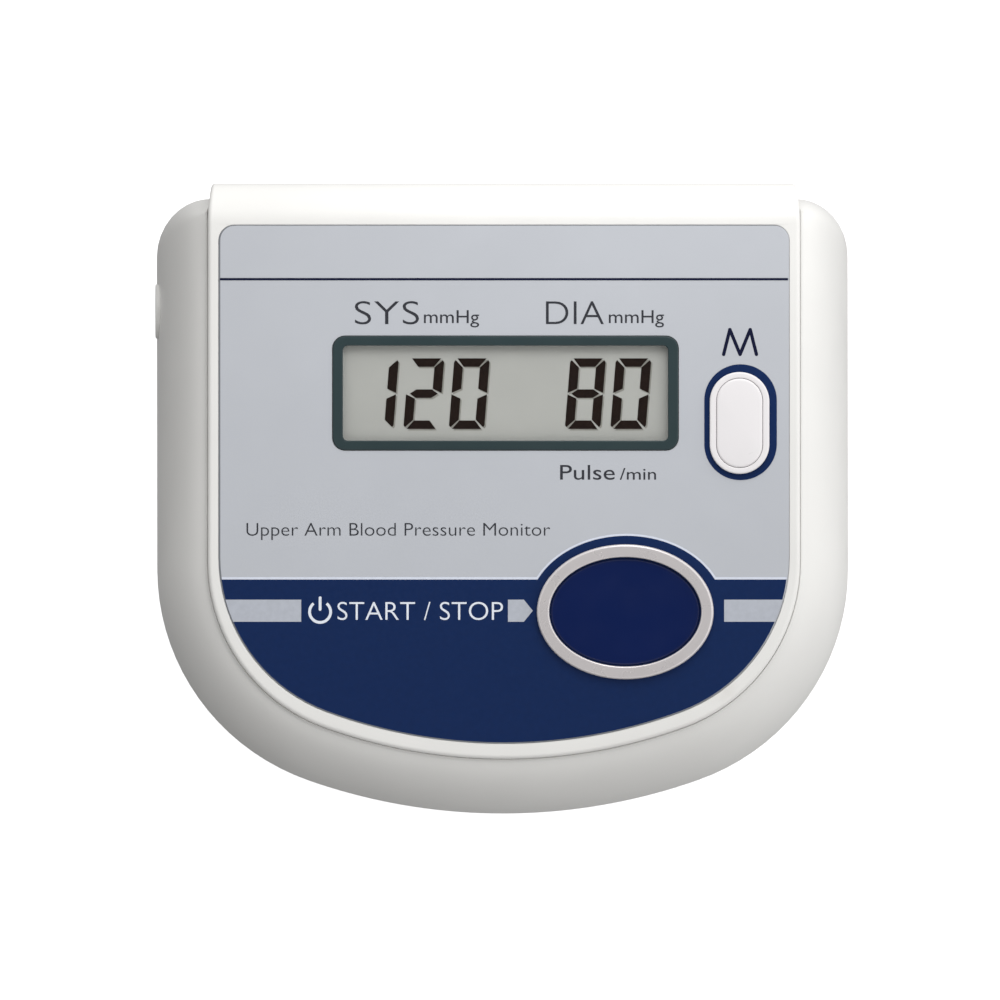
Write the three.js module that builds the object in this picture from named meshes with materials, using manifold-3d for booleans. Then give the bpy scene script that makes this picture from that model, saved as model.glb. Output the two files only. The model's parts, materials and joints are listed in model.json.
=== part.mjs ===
// Upper arm blood pressure monitor: a wedge-shaped table unit with a sloping face.
// Millimetres. +X right, -Y towards the user, +Z up. The origin is on the table,
// under the middle of the unit.

import * as THREE from "three";
import { mergeVertices } from "three/addons/utils/BufferGeometryUtils.js";
import Module from "manifold-3d";

const wasm = await Module();
wasm.setup();

// ---------------------------------------------------------------- driving dimensions

const WIDTH = 139;
const DEPTH = 123.5;
const HEIGHT = 52;
const SLOPE = THREE.MathUtils.degToRad(8);
const ROLL = 8; // radius that rolls the face over into the back
const FOOT_LIFT = 2; // the feet hold the case this far off the table
const PARTING = 12; // height of the joint between the two case halves
const GAP = 0.3;
const WALL = 2.2;
const PLATE = 2; // thickness of the top cover
const BACK_WALL = 4.2;

const BACK = DEPTH / 2;
const FRONT = -DEPTH / 2;
const ROLL_Y = BACK - ROLL;
const ROLL_Z = HEIGHT - ROLL;
const FACE_Y = ROLL_Y - ROLL * Math.sin(SLOPE);
const FACE_Z = ROLL_Z + ROLL * Math.cos(SLOPE);

// Plan outlines: straight sides, two front corners and one wide sweep between them.
const CASE = { half: WIDTH / 2, front: FRONT, corner: 45.3, sweep: 117.5, back: 61.2, backCorner: 12 };
// These two are drawn on the sloping face, whose origin is at the start of the roll.
const COVER = { half: 59.6, front: -107.8, corner: 35.4, sweep: 106.7, back: 30, backCorner: 1 };
const LABEL = { half: 57.4, front: -104.7, corner: 33.2, sweep: 103.6, back: -0.4, backCorner: 2.6 };

const COVER_SKIRT = 5; // depth of the cover's side walls below the face
const APRON_END = 24; // height at which the cover's back apron ends
const STEP = 1.5; // the case's rim lies this far below the face
const LEDGE = 3; // the case reaches this far in under the cover

// Places on the sloping face: x across, and y up the slope from the start of the roll.
const DISPLAY = { x: 0.3, y: -34.2, width: 69.8, height: 23.2, windowWidth: 65.5, windowHeight: 18.9 };
const START = { x: 24.4, y: -78.2, rx: 17.8, ry: 13.6, innerX: 15.3, innerY: 11 };
const MEMORY = { x: 47.4, y: -40.2, width: 12, height: 20.5, innerWidth: 9.9, innerHeight: 18.6 };

const BOARD_TOP = -8.6; // depth of the circuit board's upper side below the face
const BOARD = 1.6;
const BOARD_SCREWS = [[45, -60], [50, -27]];
const SWITCH_BODY = 3.6;
const SWITCH_TOP = -4.3; // depth of the switch plungers' tips
const STEM_END = -4;

const FLOOR_TOP = FOOT_LIFT + WALL;
const BAY = { half: 30.6, front: -4, back: 53.5, ceiling: 19, wall: 1.5 };
const COVER_HALF = 31.5; // half the width of the battery cover
const CELL = { radius: 7.1, length: 49, nub: 1.3, nubRadius: 2.6, pitch: 15.1, z: 11.7 };

const POSTS = [[-53.5, 47], [53.5, 47], [-34, -44.5], [34, -44.5]];
const POST_NAMES = ["back_left", "back_right", "front_left", "front_right"];
const FEET = [[-54, 30], [54, 30], [-44, -38], [44, -38]];
const POST_FOOT = 14;
const FOOT_RADIUS = 5.5;

const SOCKET = { y: 39.4, z: 18.5, radius: 5.5, bore: 3.2, face: -69.85 };
const JACK = { x: 45, z: 18.2, radius: 4, bore: 2.8 };
const PUMP = { y: -28, z: 16.8, radius: 12 };
const VALVE = { x: -41, z: 11.5, y0: 12, y1: 30, width: 12 };
const MANIFOLD = { x: -52, y: -2, z: 15, size: 7 };
const NIPPLE = 1.1;
const TUBE = { outer: 2.4, inner: 1.4 };

// ---------------------------------------------------------------- materials

function finish(color, roughness, metalness = 0) {
  return new THREE.MeshStandardMaterial({ color, roughness, metalness });
}

const shellWhite = () => finish(0xe9e8e4, 0.35);
const buttonWhite = () => finish(0xe8e4e4, 0.3);
const navy = () => finish(0x14224a, 0.3);
const satinSilver = () => finish(0xd2cdc8, 0.3, 0.6);
const overlayGrey = () => finish(0xb8bbc2, 0.45);
const frameGrey = () => finish(0x34434a, 0.35);
const displayGlass = () => finish(0xacada7, 0.25);
const blackRubber = () => finish(0x2c2c2c, 0.8);
const greyRubber = () => finish(0x777a7c, 0.75);
const silicone = () => finish(0xc9cdc8, 0.5);
const darkPlastic = () => finish(0x202224, 0.5);
const whitePlastic = () => finish(0xf0f0ec, 0.5);
const boardGreen = () => finish(0x1d5a35, 0.5);
const steel = () => finish(0xb4b6b8, 0.35, 0.9);
const springSteel = () => finish(0xc4c6c8, 0.3, 1);
const brass = () => finish(0xb8923f, 0.35, 0.9);
const cellJacket = () => finish(0x3d5f4a, 0.4);

function clearPlastic() {
  const material = finish(0xf4f6f6, 0.05);
  material.transparent = true;
  material.opacity = 0.2;
  return material;
}

// ---------------------------------------------------------------- geometry helpers

function solid(geometry) {
  const bare = geometry.clone();
  bare.deleteAttribute("normal");
  bare.deleteAttribute("uv");
  const merged = mergeVertices(bare, 1e-4);
  const mesh = new wasm.Mesh({
    numProp: 3,
    vertProperties: new Float32Array(merged.attributes.position.array),
    triVerts: new Uint32Array(merged.index.array),
  });
  return new wasm.Manifold(mesh);
}

function geometryOf(manifold) {
  const mesh = manifold.getMesh();
  const geometry = new THREE.BufferGeometry();
  geometry.setAttribute("position", new THREE.BufferAttribute(new Float32Array(mesh.vertProperties), 3));
  geometry.setIndex(new THREE.BufferAttribute(new Uint32Array(mesh.triVerts), 1));
  geometry.computeVertexNormals();
  return geometry;
}

const joined = (first, ...rest) => rest.reduce((sum, next) => sum.add(next), first);
const cut = (first, ...tools) => tools.reduce((left, tool) => left.subtract(tool), first);

function block(x0, x1, y0, y1, z0, z1) {
  const geometry = new THREE.BoxGeometry(x1 - x0, y1 - y0, z1 - z0);
  geometry.translate((x0 + x1) / 2, (y0 + y1) / 2, (z0 + z1) / 2);
  return geometry;
}

// Turns a profile of [radius, height] points about +Z.
function turned(profile, sides = 24) {
  const points = profile.map(([radius, height]) => new THREE.Vector2(radius, height));
  const geometry = new THREE.LatheGeometry(points, sides);
  geometry.rotateX(Math.PI / 2);
  return geometry;
}

function disc(radius, z0, z1, sides = 24) {
  return turned([[0, z0], [radius, z0], [radius, z1], [0, z1]], sides);
}

// Quarter turns about X and Y that take +Z to each direction.
const QUARTER_TURNS = { "+x": [0, 1], "-x": [0, -1], "+y": [-1, 0], "-y": [1, 0], "+z": [0, 0] };

// Lays a shape made about +Z along another axis, then moves it into place.
function along(axis, geometry, x, y, z) {
  const [aboutX, aboutY] = QUARTER_TURNS[axis];
  geometry.rotateX((aboutX * Math.PI) / 2);
  geometry.rotateY((aboutY * Math.PI) / 2);
  geometry.translate(x, y, z);
  return geometry;
}

function extruded(shape, z0, z1, curveSegments = 12) {
  const options = { depth: z1 - z0, bevelEnabled: false, curveSegments };
  const geometry = new THREE.ExtrudeGeometry(shape, options);
  geometry.translate(0, 0, z0);
  return geometry;
}

function ellipse(rx, ry) {
  return new THREE.Shape().absellipse(0, 0, rx, ry, 0, Math.PI * 2);
}

function roundedBox(width, height, radius) {
  const x = width / 2 - radius;
  const y = height / 2 - radius;
  const quarter = Math.PI / 2;
  const shape = new THREE.Shape();
  shape.absarc(x, y, radius, 0, quarter);
  shape.absarc(-x, y, radius, quarter, 2 * quarter);
  shape.absarc(-x, -y, radius, 2 * quarter, 3 * quarter);
  shape.absarc(x, -y, radius, 3 * quarter, 4 * quarter);
  shape.closePath();
  return shape;
}

const stadium = (width, height) => roundedBox(width, height, width / 2 - 0.01);

function ring(outer, inner) {
  outer.holes.push(inner);
  return outer;
}

// ---------------------------------------------------------------- outlines and lofts

function arc(cx, cy, radius, from, to, steps) {
  const points = [];
  for (let i = 0; i <= steps; i += 1) {
    const angle = from + ((to - from) * i) / steps;
    points.push(new THREE.Vector2(cx + radius * Math.cos(angle), cy + radius * Math.sin(angle)));
  }
  return points;
}

// Counter-clockwise points of an outline: back corners, straight sides, front corners, sweep.
function outline({ half, front, corner, sweep, back, backCorner }) {
  const sweepY = front + sweep;
  const cornerX = half - corner;
  const cornerY = sweepY - Math.sqrt((sweep - corner) ** 2 - cornerX ** 2);
  const turn = Math.atan2(cornerY - sweepY, cornerX);
  const backX = half - backCorner;
  const backY = back - backCorner;
  return [
    ...arc(backX, backY, backCorner, 0, Math.PI / 2, 5),
    ...arc(-backX, backY, backCorner, Math.PI / 2, Math.PI, 5),
    ...arc(-cornerX, cornerY, corner, Math.PI, Math.PI - turn, 7),
    ...arc(0, sweepY, sweep, -Math.PI - turn, turn, 10).slice(1, -1),
    ...arc(cornerX, cornerY, corner, turn, 0, 7),
  ];
}

function grown(o, by) {
  return {
    half: o.half + by,
    front: o.front - by,
    corner: o.corner + by,
    sweep: o.sweep + by,
    back: o.back + by,
    backCorner: Math.max(o.backCorner + by, 0.6),
  };
}

function loft(rings) {
  const count = rings[0].length;
  const positions = rings.flat().flatMap((p) => [p.x, p.y, p.z]);
  const index = [];
  for (let level = 0; level < rings.length - 1; level += 1) {
    for (let i = 0; i < count; i += 1) {
      const a = level * count + i;
      const b = level * count + ((i + 1) % count);
      index.push(a, b, b + count, a, b + count, a + count);
    }
  }
  const cap = (ringPoints, offset, up) => {
    const flat = ringPoints.map((p) => new THREE.Vector2(p.x, p.y));
    for (const [a, b, c] of THREE.ShapeUtils.triangulateShape(flat, [])) {
      index.push(...(up ? [a, b, c] : [a, c, b]).map((i) => i + offset));
    }
  };
  cap(rings[0], 0, false);
  cap(rings.at(-1), (rings.length - 1) * count, true);
  const geometry = new THREE.BufferGeometry();
  geometry.setAttribute("position", new THREE.Float32BufferAttribute(positions, 3));
  geometry.setIndex(index);
  return geometry;
}

// A vertical prism over an outline.
function prism(o, z0, z1) {
  const at = (z) => outline(o).map((p) => new THREE.Vector3(p.x, p.y, z));
  return loft([at(z0), at(z1)]);
}

const FACE_PLACE = new THREE.Matrix4().makeRotationX(SLOPE).setPosition(0, FACE_Y, FACE_Z);

// Moves a shape that is drawn on the sloping face to its place on the unit.
function onFace(geometry, x = 0, y = 0) {
  geometry.translate(x, y, 0);
  geometry.applyMatrix4(FACE_PLACE);
  return geometry;
}

// Height of the cover's surface over the point y, or of a skin that lies inset below it.
function coverHeight(y, inset) {
  const roll = ROLL - inset;
  const start = ROLL_Y - roll * Math.sin(SLOPE);
  if (y <= start) {
    return ROLL_Z + roll * Math.cos(SLOPE) + (y - start) * Math.tan(SLOPE);
  }
  return ROLL_Z + Math.sqrt(roll ** 2 - Math.min(y - ROLL_Y, roll) ** 2);
}

// The case's upper edge: an outline drawn on the face, dropped below it by an inset.
function edgeRing(o, inset) {
  return outline(o).map((p) => {
    const y = FACE_Y + p.y * Math.cos(SLOPE) + inset * Math.sin(SLOPE);
    return new THREE.Vector3(p.x, y, coverHeight(y, inset));
  });
}

// Rings that swell from an upper edge out to the case's widest line.
function flare(top, bottom, z, steps) {
  const end = THREE.MathUtils.degToRad(60);
  const rings = [];
  for (let i = 0; i <= steps; i += 1) {
    const angle = (end * i) / steps;
    const out = (Math.cos(angle) - Math.cos(end)) / (1 - Math.cos(end));
    const up = Math.sin(angle) / Math.sin(end);
    rings.push(top.map((p, n) => {
      const low = new THREE.Vector3(bottom[n].x, bottom[n].y, z);
      return new THREE.Vector3(
        THREE.MathUtils.lerp(p.x, low.x, out),
        THREE.MathUtils.lerp(p.y, low.y, out),
        THREE.MathUtils.lerp(low.z, p.z, up),
      );
    }));
  }
  return rings;
}

// The inside of the case halves, whose back wall is thicker than the rest.
function inside(by) {
  const hollow = grown(CASE, -by);
  return { ...hollow, back: CASE.back - BACK_WALL - (by - WALL) };
}

// ---------------------------------------------------------------- the unit

const monitor = new THREE.Group();
const face = new THREE.Group();
face.rotation.x = SLOPE;
face.position.set(0, FACE_Y, FACE_Z);
monitor.add(face);

function piece(name, geometry, material, parent = monitor) {
  const mesh = new THREE.Mesh(geometry, material);
  mesh.name = name;
  parent.add(mesh);
  return mesh;
}

function facePiece(name, geometry, material, place) {
  const mesh = piece(name, geometry, material, face);
  mesh.position.set(place.x, place.y, 0);
  return mesh;
}

// ---------------------------------------------------------------- case

// The cover's side view, inset below its skin and reaching down to a far depth.
function coverProfile(inset, half) {
  const far = 80;
  const shape = new THREE.Shape();
  shape.moveTo(-2 * far, -inset);
  shape.lineTo(0, -inset);
  shape.absarc(0, -ROLL, ROLL - inset, Math.PI / 2, -SLOPE, true);
  const end = new THREE.Vector2(Math.cos(SLOPE), -Math.sin(SLOPE)).multiplyScalar(ROLL - inset);
  shape.lineTo(end.x - far * Math.sin(SLOPE), end.y - ROLL - far * Math.cos(SLOPE));
  shape.lineTo(-2 * far, end.y - ROLL - far * Math.cos(SLOPE));
  shape.closePath();
  const geometry = extruded(shape, -half, half, 10);
  const swap = new THREE.Matrix4().makeBasis(
    new THREE.Vector3(0, 1, 0),
    new THREE.Vector3(0, 0, 1),
    new THREE.Vector3(1, 0, 0),
  );
  geometry.applyMatrix4(swap);
  return geometry;
}

function coverBody(inset) {
  const sides = solid(onFace(coverProfile(inset, COVER.half - inset)));
  return sides.intersect(solid(onFace(prism(grown(COVER, -inset), -70, 5))));
}

function coverReach(by) {
  const skirt = solid(onFace(prism(grown(COVER, by), -COVER_SKIRT - by, 12)));
  const apron = solid(block(
    -COVER.half - by, COVER.half + by,
    BACK - PLATE - by, BACK + 10,
    APRON_END - by, HEIGHT + 10,
  ));
  return joined(skirt, apron);
}

function displayOpening(depth, top) {
  const shape = roundedBox(DISPLAY.width + 2 * GAP, DISPLAY.height + 2 * GAP, 2.9);
  return solid(onFace(extruded(shape, depth, top, 2), DISPLAY.x, DISPLAY.y));
}

function startOpening(depth, top) {
  return solid(onFace(extruded(ellipse(16.7, 12.5), depth, top, 16), START.x, START.y));
}

function memoryOpening(depth, top) {
  return solid(onFace(extruded(stadium(11.6, 20.1), depth, top, 4), MEMORY.x, MEMORY.y));
}

function makeTopCover() {
  const shell = cut(coverBody(0).intersect(coverReach(0)), coverBody(PLATE));
  const recess = solid(onFace(prism(grown(LABEL, 0.25), -0.6, 3)));
  const under = coverBody(PLATE / 2);
  const posts = POSTS.map(([x, y]) => {
    const post = solid(along("+z", disc(3, POST_FOOT, HEIGHT, 16), x, y, 0)).intersect(under);
    return cut(post, solid(along("+z", disc(1.4, POST_FOOT - 1, POST_FOOT + 8, 12), x, y, 0)));
  });
  const boardPosts = BOARD_SCREWS.map(([x, y]) =>
    solid(onFace(disc(2.2, BOARD_TOP + GAP, -PLATE / 2, 12), x, y)));
  const body = cut(shell, recess, displayOpening(-6, 3), startOpening(-6, 3), memoryOpening(-6, 3));
  piece("top_cover", geometryOf(joined(body, ...posts, ...boardPosts)), shellWhite());
}

function makeSurround() {
  const rim = { ...grown(COVER, 2 * GAP), back: 6.8, backCorner: 3 };
  const skin = flare(edgeRing(rim, STEP), outline(CASE), PARTING + GAP, 6);
  const ledge = { ...grown(COVER, -LEDGE), back: 2.5, backCorner: 3 };
  const hollow = flare(edgeRing(ledge, COVER_SKIRT - 2), outline(inside(WALL)), PARTING - 1, 5);
  const socketHole = along("-x", disc(SOCKET.radius + 0.15, 0, 20), -58, SOCKET.y, SOCKET.z);
  const jackHole = along("+y", disc(JACK.radius + 0.15, 0, 20), JACK.x, 50, JACK.z);
  const skinned = cut(solid(loft(skin)), solid(loft(hollow)), coverReach(GAP));
  const shell = cut(skinned, solid(socketHole), solid(jackHole));
  piece("side_surround", geometryOf(shell), shellWhite());
}

// Levels of the lower case's rounded underside: [height, how far it draws in].
const UNDERSIDE = [[FOOT_LIFT, 5.2], [3.2, 2.9], [5.4, 1.3], [8.6, 0.55], [PARTING, 0.35]];

function caseFloorHoles() {
  const bay = solid(block(-BAY.half, BAY.half, BAY.front, BAY.back, 0, BAY.ceiling));
  const slot = solid(block(-COVER_HALF - GAP, COVER_HALF + GAP, -6.3, BACK + 5, 0, FLOOR_TOP));
  const grooves = solid(block(-COVER_HALF - 1.3, COVER_HALF + 1.3, -6.3, BACK + 5, 2.5, 3.7));
  const feet = FEET.map(([x, y]) => solid(along("+z", disc(FOOT_RADIUS + 0.2, 0, 2.8, 20), x, y, 0)));
  const screws = POSTS.flatMap(([x, y]) => [
    solid(along("+z", disc(1.7, 0, 20, 12), x, y, 0)),
    solid(along("+z", disc(3.1, 0, 7, 16), x, y, 0)),
  ]);
  const socket = solid(along("-x", disc(SOCKET.radius + GAP, 0, 20), -58, SOCKET.y, SOCKET.z));
  return [bay, slot, grooves, socket, ...feet, ...screws];
}

const levelRing = (shape, z) => outline(shape).map((p) => new THREE.Vector3(p.x, p.y, z));

function makeLowerCase() {
  const skin = UNDERSIDE.map(([z, draw]) => levelRing(grown(CASE, -draw), z));
  const hollow = [
    levelRing(inside(WALL + 4), FLOOR_TOP),
    levelRing(inside(WALL + 0.5), 7),
    levelRing(inside(WALL + 0.5), PARTING + 5),
  ];
  const tub = cut(solid(loft(skin)), solid(loft(hollow)));
  const lip = cut(
    solid(prism(inside(WALL + 0.3), 9, PARTING + 1.5)),
    solid(prism(inside(WALL + 1.5), 8, PARTING + 5)),
  );
  const bedFoot = FOOT_LIFT + 1; // everything that stands on the floor starts inside it
  const bay = solid(block(
    -BAY.half - BAY.wall, BAY.half + BAY.wall,
    BAY.front - BAY.wall, BAY.back + BAY.wall,
    bedFoot, BAY.ceiling + BAY.wall,
  ));
  const bosses = POSTS.map(([x, y]) => solid(along("+z", disc(4.6, bedFoot, POST_FOOT - GAP, 16), x, y, 0)));
  const cradle = [[-29, -27], [-2, 0]].map(([x0, x1]) => cut(
    solid(block(x0, x1, PUMP.y - 9, PUMP.y + 9, bedFoot, 11)),
    solid(along("+x", disc(PUMP.radius + GAP, x0 - 1, x1 + 1, 32), 0, PUMP.y, PUMP.z)),
  ));
  const valveFoot = VALVE.z - VALVE.width / 2;
  const valveBed = solid(block(VALVE.x - 5, VALVE.x + 5, 15, 27, bedFoot, valveFoot - GAP));
  const body = cut(joined(tub, lip, bay, ...bosses, ...cradle, valveBed), ...caseFloorHoles());
  piece("lower_case", geometryOf(body), shellWhite());
}

function makeBatteryCover() {
  const plate = solid(block(-COVER_HALF, COVER_HALF, -6, 55, FOOT_LIFT, FLOOR_TOP - GAP));
  const tongues = solid(block(-COVER_HALF - 1, COVER_HALF + 1, 2, 50, 2.8, 3.4));
  piece("battery_cover", geometryOf(joined(plate, tongues)), shellWhite());
}

function makeFeet() {
  FEET.forEach(([x, y], i) => {
    piece(`foot_${POST_NAMES[i]}`, along("+z", disc(FOOT_RADIUS, 0, 2.5, 20), x, y, 0), greyRubber());
  });
}

function makeCaseScrews() {
  POSTS.forEach(([x, y], i) => {
    const profile = [[0, 5.1], [2.8, 5.1], [2.8, 6.9], [1.2, 6.9], [1.2, 20], [0, 20.8]];
    piece(`case_screw_${POST_NAMES[i]}`, along("+z", turned(profile, 12), x, y, 0), steel());
  });
}

// ---------------------------------------------------------------- face and display

function makeOverlay() {
  const sheet = solid(onFace(prism(LABEL, -0.3, 0)));
  const body = cut(sheet, displayOpening(-1, 1), startOpening(-1, 1), memoryOpening(-1, 1));
  piece("face_overlay", geometryOf(body), overlayGrey());
}

function makeDisplay() {
  const window = roundedBox(DISPLAY.windowWidth, DISPLAY.windowHeight, 0.6);
  const frame = ring(roundedBox(DISPLAY.width, DISPLAY.height, 2.6), window);
  facePiece("lcd_frame", extruded(frame, -2.2, 0.25, 2), frameGrey(), DISPLAY);
  const pane = roundedBox(DISPLAY.windowWidth - 2 * GAP, DISPLAY.windowHeight - 2 * GAP, 0.5);
  facePiece("lcd_window", extruded(pane, -1.7, -0.7, 1), clearPlastic(), DISPLAY);
  facePiece("lcd_glass", block(-34.2, 34.2, -11.5, 11.5, -4.6, -2.6), displayGlass(), DISPLAY);
  const rim = solid(extruded(ring(roundedBox(74, 28, 1), roundedBox(69.1, 23.6, 0.5)), -8.2, -2.4, 1));
  const shelf = solid(extruded(ring(roundedBox(70, 24.5, 0.4), roundedBox(65, 19, 0.4)), -5.9, -4.9, 1));
  facePiece("lcd_carrier", geometryOf(joined(rim, shelf)), whitePlastic(), DISPLAY);
  facePiece("lcd_connector", block(-30, 30, -8.8, -6.4, BOARD_TOP + GAP, -4.9), blackRubber(), DISPLAY);
}

function makeButtons() {
  const startHole = ellipse(START.innerX, START.innerY);
  const flange = ring(ellipse(START.rx, START.ry), startHole);
  const sleeve = ring(ellipse(START.innerX + 1.1, START.innerY + 1.1), startHole);
  const startRing = joined(solid(extruded(flange, GAP, 1.3, 18)), solid(extruded(sleeve, -2.2, 0.6, 18)));
  facePiece("start_ring", geometryOf(startRing), satinSilver(), START);
  facePiece("start_button", geometryOf(joined(
    solid(extruded(ellipse(START.innerX - 0.25, START.innerY - 0.25), -3, 0.6, 16)),
    solid(extruded(ellipse(START.innerX + 0.9, START.innerY + 0.9), -3.3, -2.5, 16)),
    solid(disc(2, STEM_END, -3, 16)),
  )), navy(), START);

  const { width, height, innerWidth, innerHeight } = MEMORY;
  const memoryHole = stadium(innerWidth, innerHeight);
  const memoryFlange = ring(stadium(width, height), memoryHole);
  const memorySleeve = ring(stadium(innerWidth + 1.2, innerHeight + 1.2), memoryHole);
  const memoryRing = joined(
    solid(extruded(memoryFlange, GAP, 1.1, 4)),
    solid(extruded(memorySleeve, -2.2, 0.6, 4)),
  );
  facePiece("memory_ring", geometryOf(memoryRing), buttonWhite(), MEMORY);
  facePiece("memory_button", geometryOf(joined(
    solid(extruded(stadium(innerWidth - 0.5, innerHeight - 0.5), -3, 1.5, 4)),
    solid(extruded(stadium(innerWidth + 0.9, innerHeight + 0.9), -3.3, -2.5, 4)),
    solid(disc(2, STEM_END, -3, 16)),
  )), buttonWhite(), MEMORY);
}

// ---------------------------------------------------------------- circuit board

function makeBoard() {
  const corners = [[-38, -20], [54, -20], [54, -58], [42, -74], [42, -92], [-38, -92]];
  const shape = new THREE.Shape(corners.map(([x, y]) => new THREE.Vector2(x, y)));
  const low = BOARD_TOP - BOARD;
  const holes = BOARD_SCREWS.map(([x, y]) => {
    const hole = disc(1.3, low - 1, BOARD_TOP + 1, 12);
    hole.translate(x, y, 0);
    return solid(hole);
  });
  const board = cut(solid(extruded(shape, low, BOARD_TOP)), ...holes);
  piece("main_board", geometryOf(board), boardGreen(), face);
  const under = low - GAP; // where the parts below the board begin
  BOARD_SCREWS.forEach(([x, y], i) => {
    const screw = [
      [0, low - 1.9], [2.2, low - 1.9], [2.2, under],
      [1, under], [1, BOARD_TOP], [0, BOARD_TOP],
    ];
    facePiece(`board_screw_${i + 1}`, turned(screw, 12), steel(), { x, y });
  });
  const chip = block(-7, 7, -7, 7, under - 1.6, under);
  facePiece("controller_chip", chip, darkPlastic(), { x: 12, y: -57 });
  const can = disc(4, under - 10, under, 16);
  facePiece("smoothing_capacitor", can, darkPlastic(), { x: 30, y: -66 });
  facePiece("beeper", disc(6, BOARD_TOP + GAP, BOARD_TOP + 4.5, 20), darkPlastic(), { x: -26, y: -63 });
  const sensor = joined(
    solid(block(-5, 5, -5, 5, under - 5, under)),
    solid(along("-x", disc(NIPPLE, 4, 10, 10), 0, 0, under - 3)),
  );
  facePiece("pressure_sensor", geometryOf(sensor), whitePlastic(), { x: -29, y: -55 });
}

function makeSwitch(name, place) {
  const foot = BOARD_TOP + GAP;
  const top = BOARD_TOP + SWITCH_BODY;
  const well = disc(2, top - 1.4, top + 1, 16);
  const body = cut(solid(block(-3.1, 3.1, -3.1, 3.1, foot, top)), solid(well));
  facePiece(name, geometryOf(body), darkPlastic(), place);
  facePiece(`${name}_plunger`, disc(1.7, top - 0.8, SWITCH_TOP, 16), whitePlastic(), place);
}

// ---------------------------------------------------------------- pump, valve and air path

function onPumpAxis(geometry) {
  return along("-x", geometry, 0, PUMP.y, PUMP.z);
}

// The pump's parts are turned about an axis that runs from the motor towards the left wall.
function makePump() {
  const r = PUMP.radius;
  const can = [[0, -10], [r - 1, -10], [r, -9], [r, 17], [r - 1, 18], [1.15, 18], [1.15, -4], [0, -4]];
  piece("pump_motor", onPumpAxis(turned(can, 28)), steel());
  piece("pump_shaft", onPumpAxis(disc(1, -3.5, 26, 12)), steel());
  const crank = [[1.15, 20.5], [4.4, 20.5], [4.4, 25], [1.15, 25], [1.15, 20.5]];
  const pin = disc(0.9, 24, 27.6, 10);
  pin.translate(2.8, 0, 0);
  piece("pump_eccentric", onPumpAxis(geometryOf(joined(solid(turned(crank, 20)), solid(pin)))), brass());
  const cup = [[4, 18.3], [r, 18.3], [r, 31], [r - 1.6, 31], [r - 1.6, 19.8], [4, 19.8], [4, 18.3]];
  piece("pump_housing", onPumpAxis(turned(cup, 28)), darkPlastic());
  const dome = [
    [0, 28.2], [6, 28.2], [8, 30.2], [r - 2, 30.2],
    [r - 2, 31.3], [r, 31.3], [r, 32.3], [0, 32.3],
  ];
  piece("pump_diaphragm", onPumpAxis(turned(dome, 28)), blackRubber());
  const head = [[0, 32.6], [r, 32.6], [r, 38.5], [r - 1.5, 40], [NIPPLE, 40], [NIPPLE, 44.5], [0, 44.5]];
  piece("pump_head", onPumpAxis(turned(head, 28)), whitePlastic());
}

function coil(from, to, axisPoint, startRadius, endRadius, turns, wire, stepsPerTurn) {
  const points = [];
  const count = turns * stepsPerTurn;
  for (let i = 0; i <= count; i += 1) {
    const share = i / count;
    const angle = share * turns * Math.PI * 2;
    const radius = THREE.MathUtils.lerp(startRadius, endRadius, share);
    points.push(new THREE.Vector3(
      axisPoint.x + radius * Math.cos(angle),
      THREE.MathUtils.lerp(from, to, share),
      axisPoint.z + radius * Math.sin(angle),
    ));
  }
  const section = new THREE.Shape().absarc(0, 0, wire, 0, Math.PI * 2);
  const path = new THREE.CatmullRomCurve3(points);
  return new THREE.ExtrudeGeometry(section, { steps: count, extrudePath: path, curveSegments: 3 });
}

function makeValve() {
  const half = VALVE.width / 2;
  const { x, z, y0, y1 } = VALVE;
  const body = cut(
    joined(
      solid(block(x - half, x + half, y0, y1, z - half, z + half)),
      solid(along("-y", disc(NIPPLE, -1, 5, 10), x, y0, z)),
    ),
    solid(along("+y", disc(2.3, -12, 1, 16), x, y1, z)),
  );
  piece("valve_body", geometryOf(body), steel());
  const rod = [[0, -9.5], [1.9, -9.5], [1.9, 5], [3.6, 5], [3.6, 6.2], [0, 6.2]];
  piece("valve_plunger", along("+y", turned(rod, 16), x, y1, z), steel());
  piece("valve_spring", coil(y1 + 0.7, y1 + 4.3, { x, z }, 2.9, 2.9, 3, 0.3, 10), springSteel());
}

function makeManifold() {
  const { x, y, z, size } = MANIFOLD;
  const half = size / 2;
  const reach = half + 3.6;
  const body = joined(
    solid(block(x - half, x + half, y - half, y + half, z - half, z + half)),
    solid(along("+y", disc(NIPPLE, -reach, reach, 10), x, y, z)),
    solid(along("+x", disc(NIPPLE, 0, reach, 10), x, y, z)),
    solid(along("+z", disc(NIPPLE, 0, reach, 10), x, y, z)),
  );
  piece("air_manifold", geometryOf(body), whitePlastic());
}

function tube(name, points, steps) {
  const path = new THREE.CatmullRomCurve3(points.map(([x, y, z]) => new THREE.Vector3(x, y, z)));
  const section = new THREE.Shape().absarc(0, 0, TUBE.outer, 0, Math.PI * 2);
  section.holes.push(new THREE.Path().absarc(0, 0, TUBE.inner, 0, Math.PI * 2));
  const geometry = new THREE.ExtrudeGeometry(section, { steps, extrudePath: path, curveSegments: 4 });
  piece(name, geometry, silicone());
}

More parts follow.
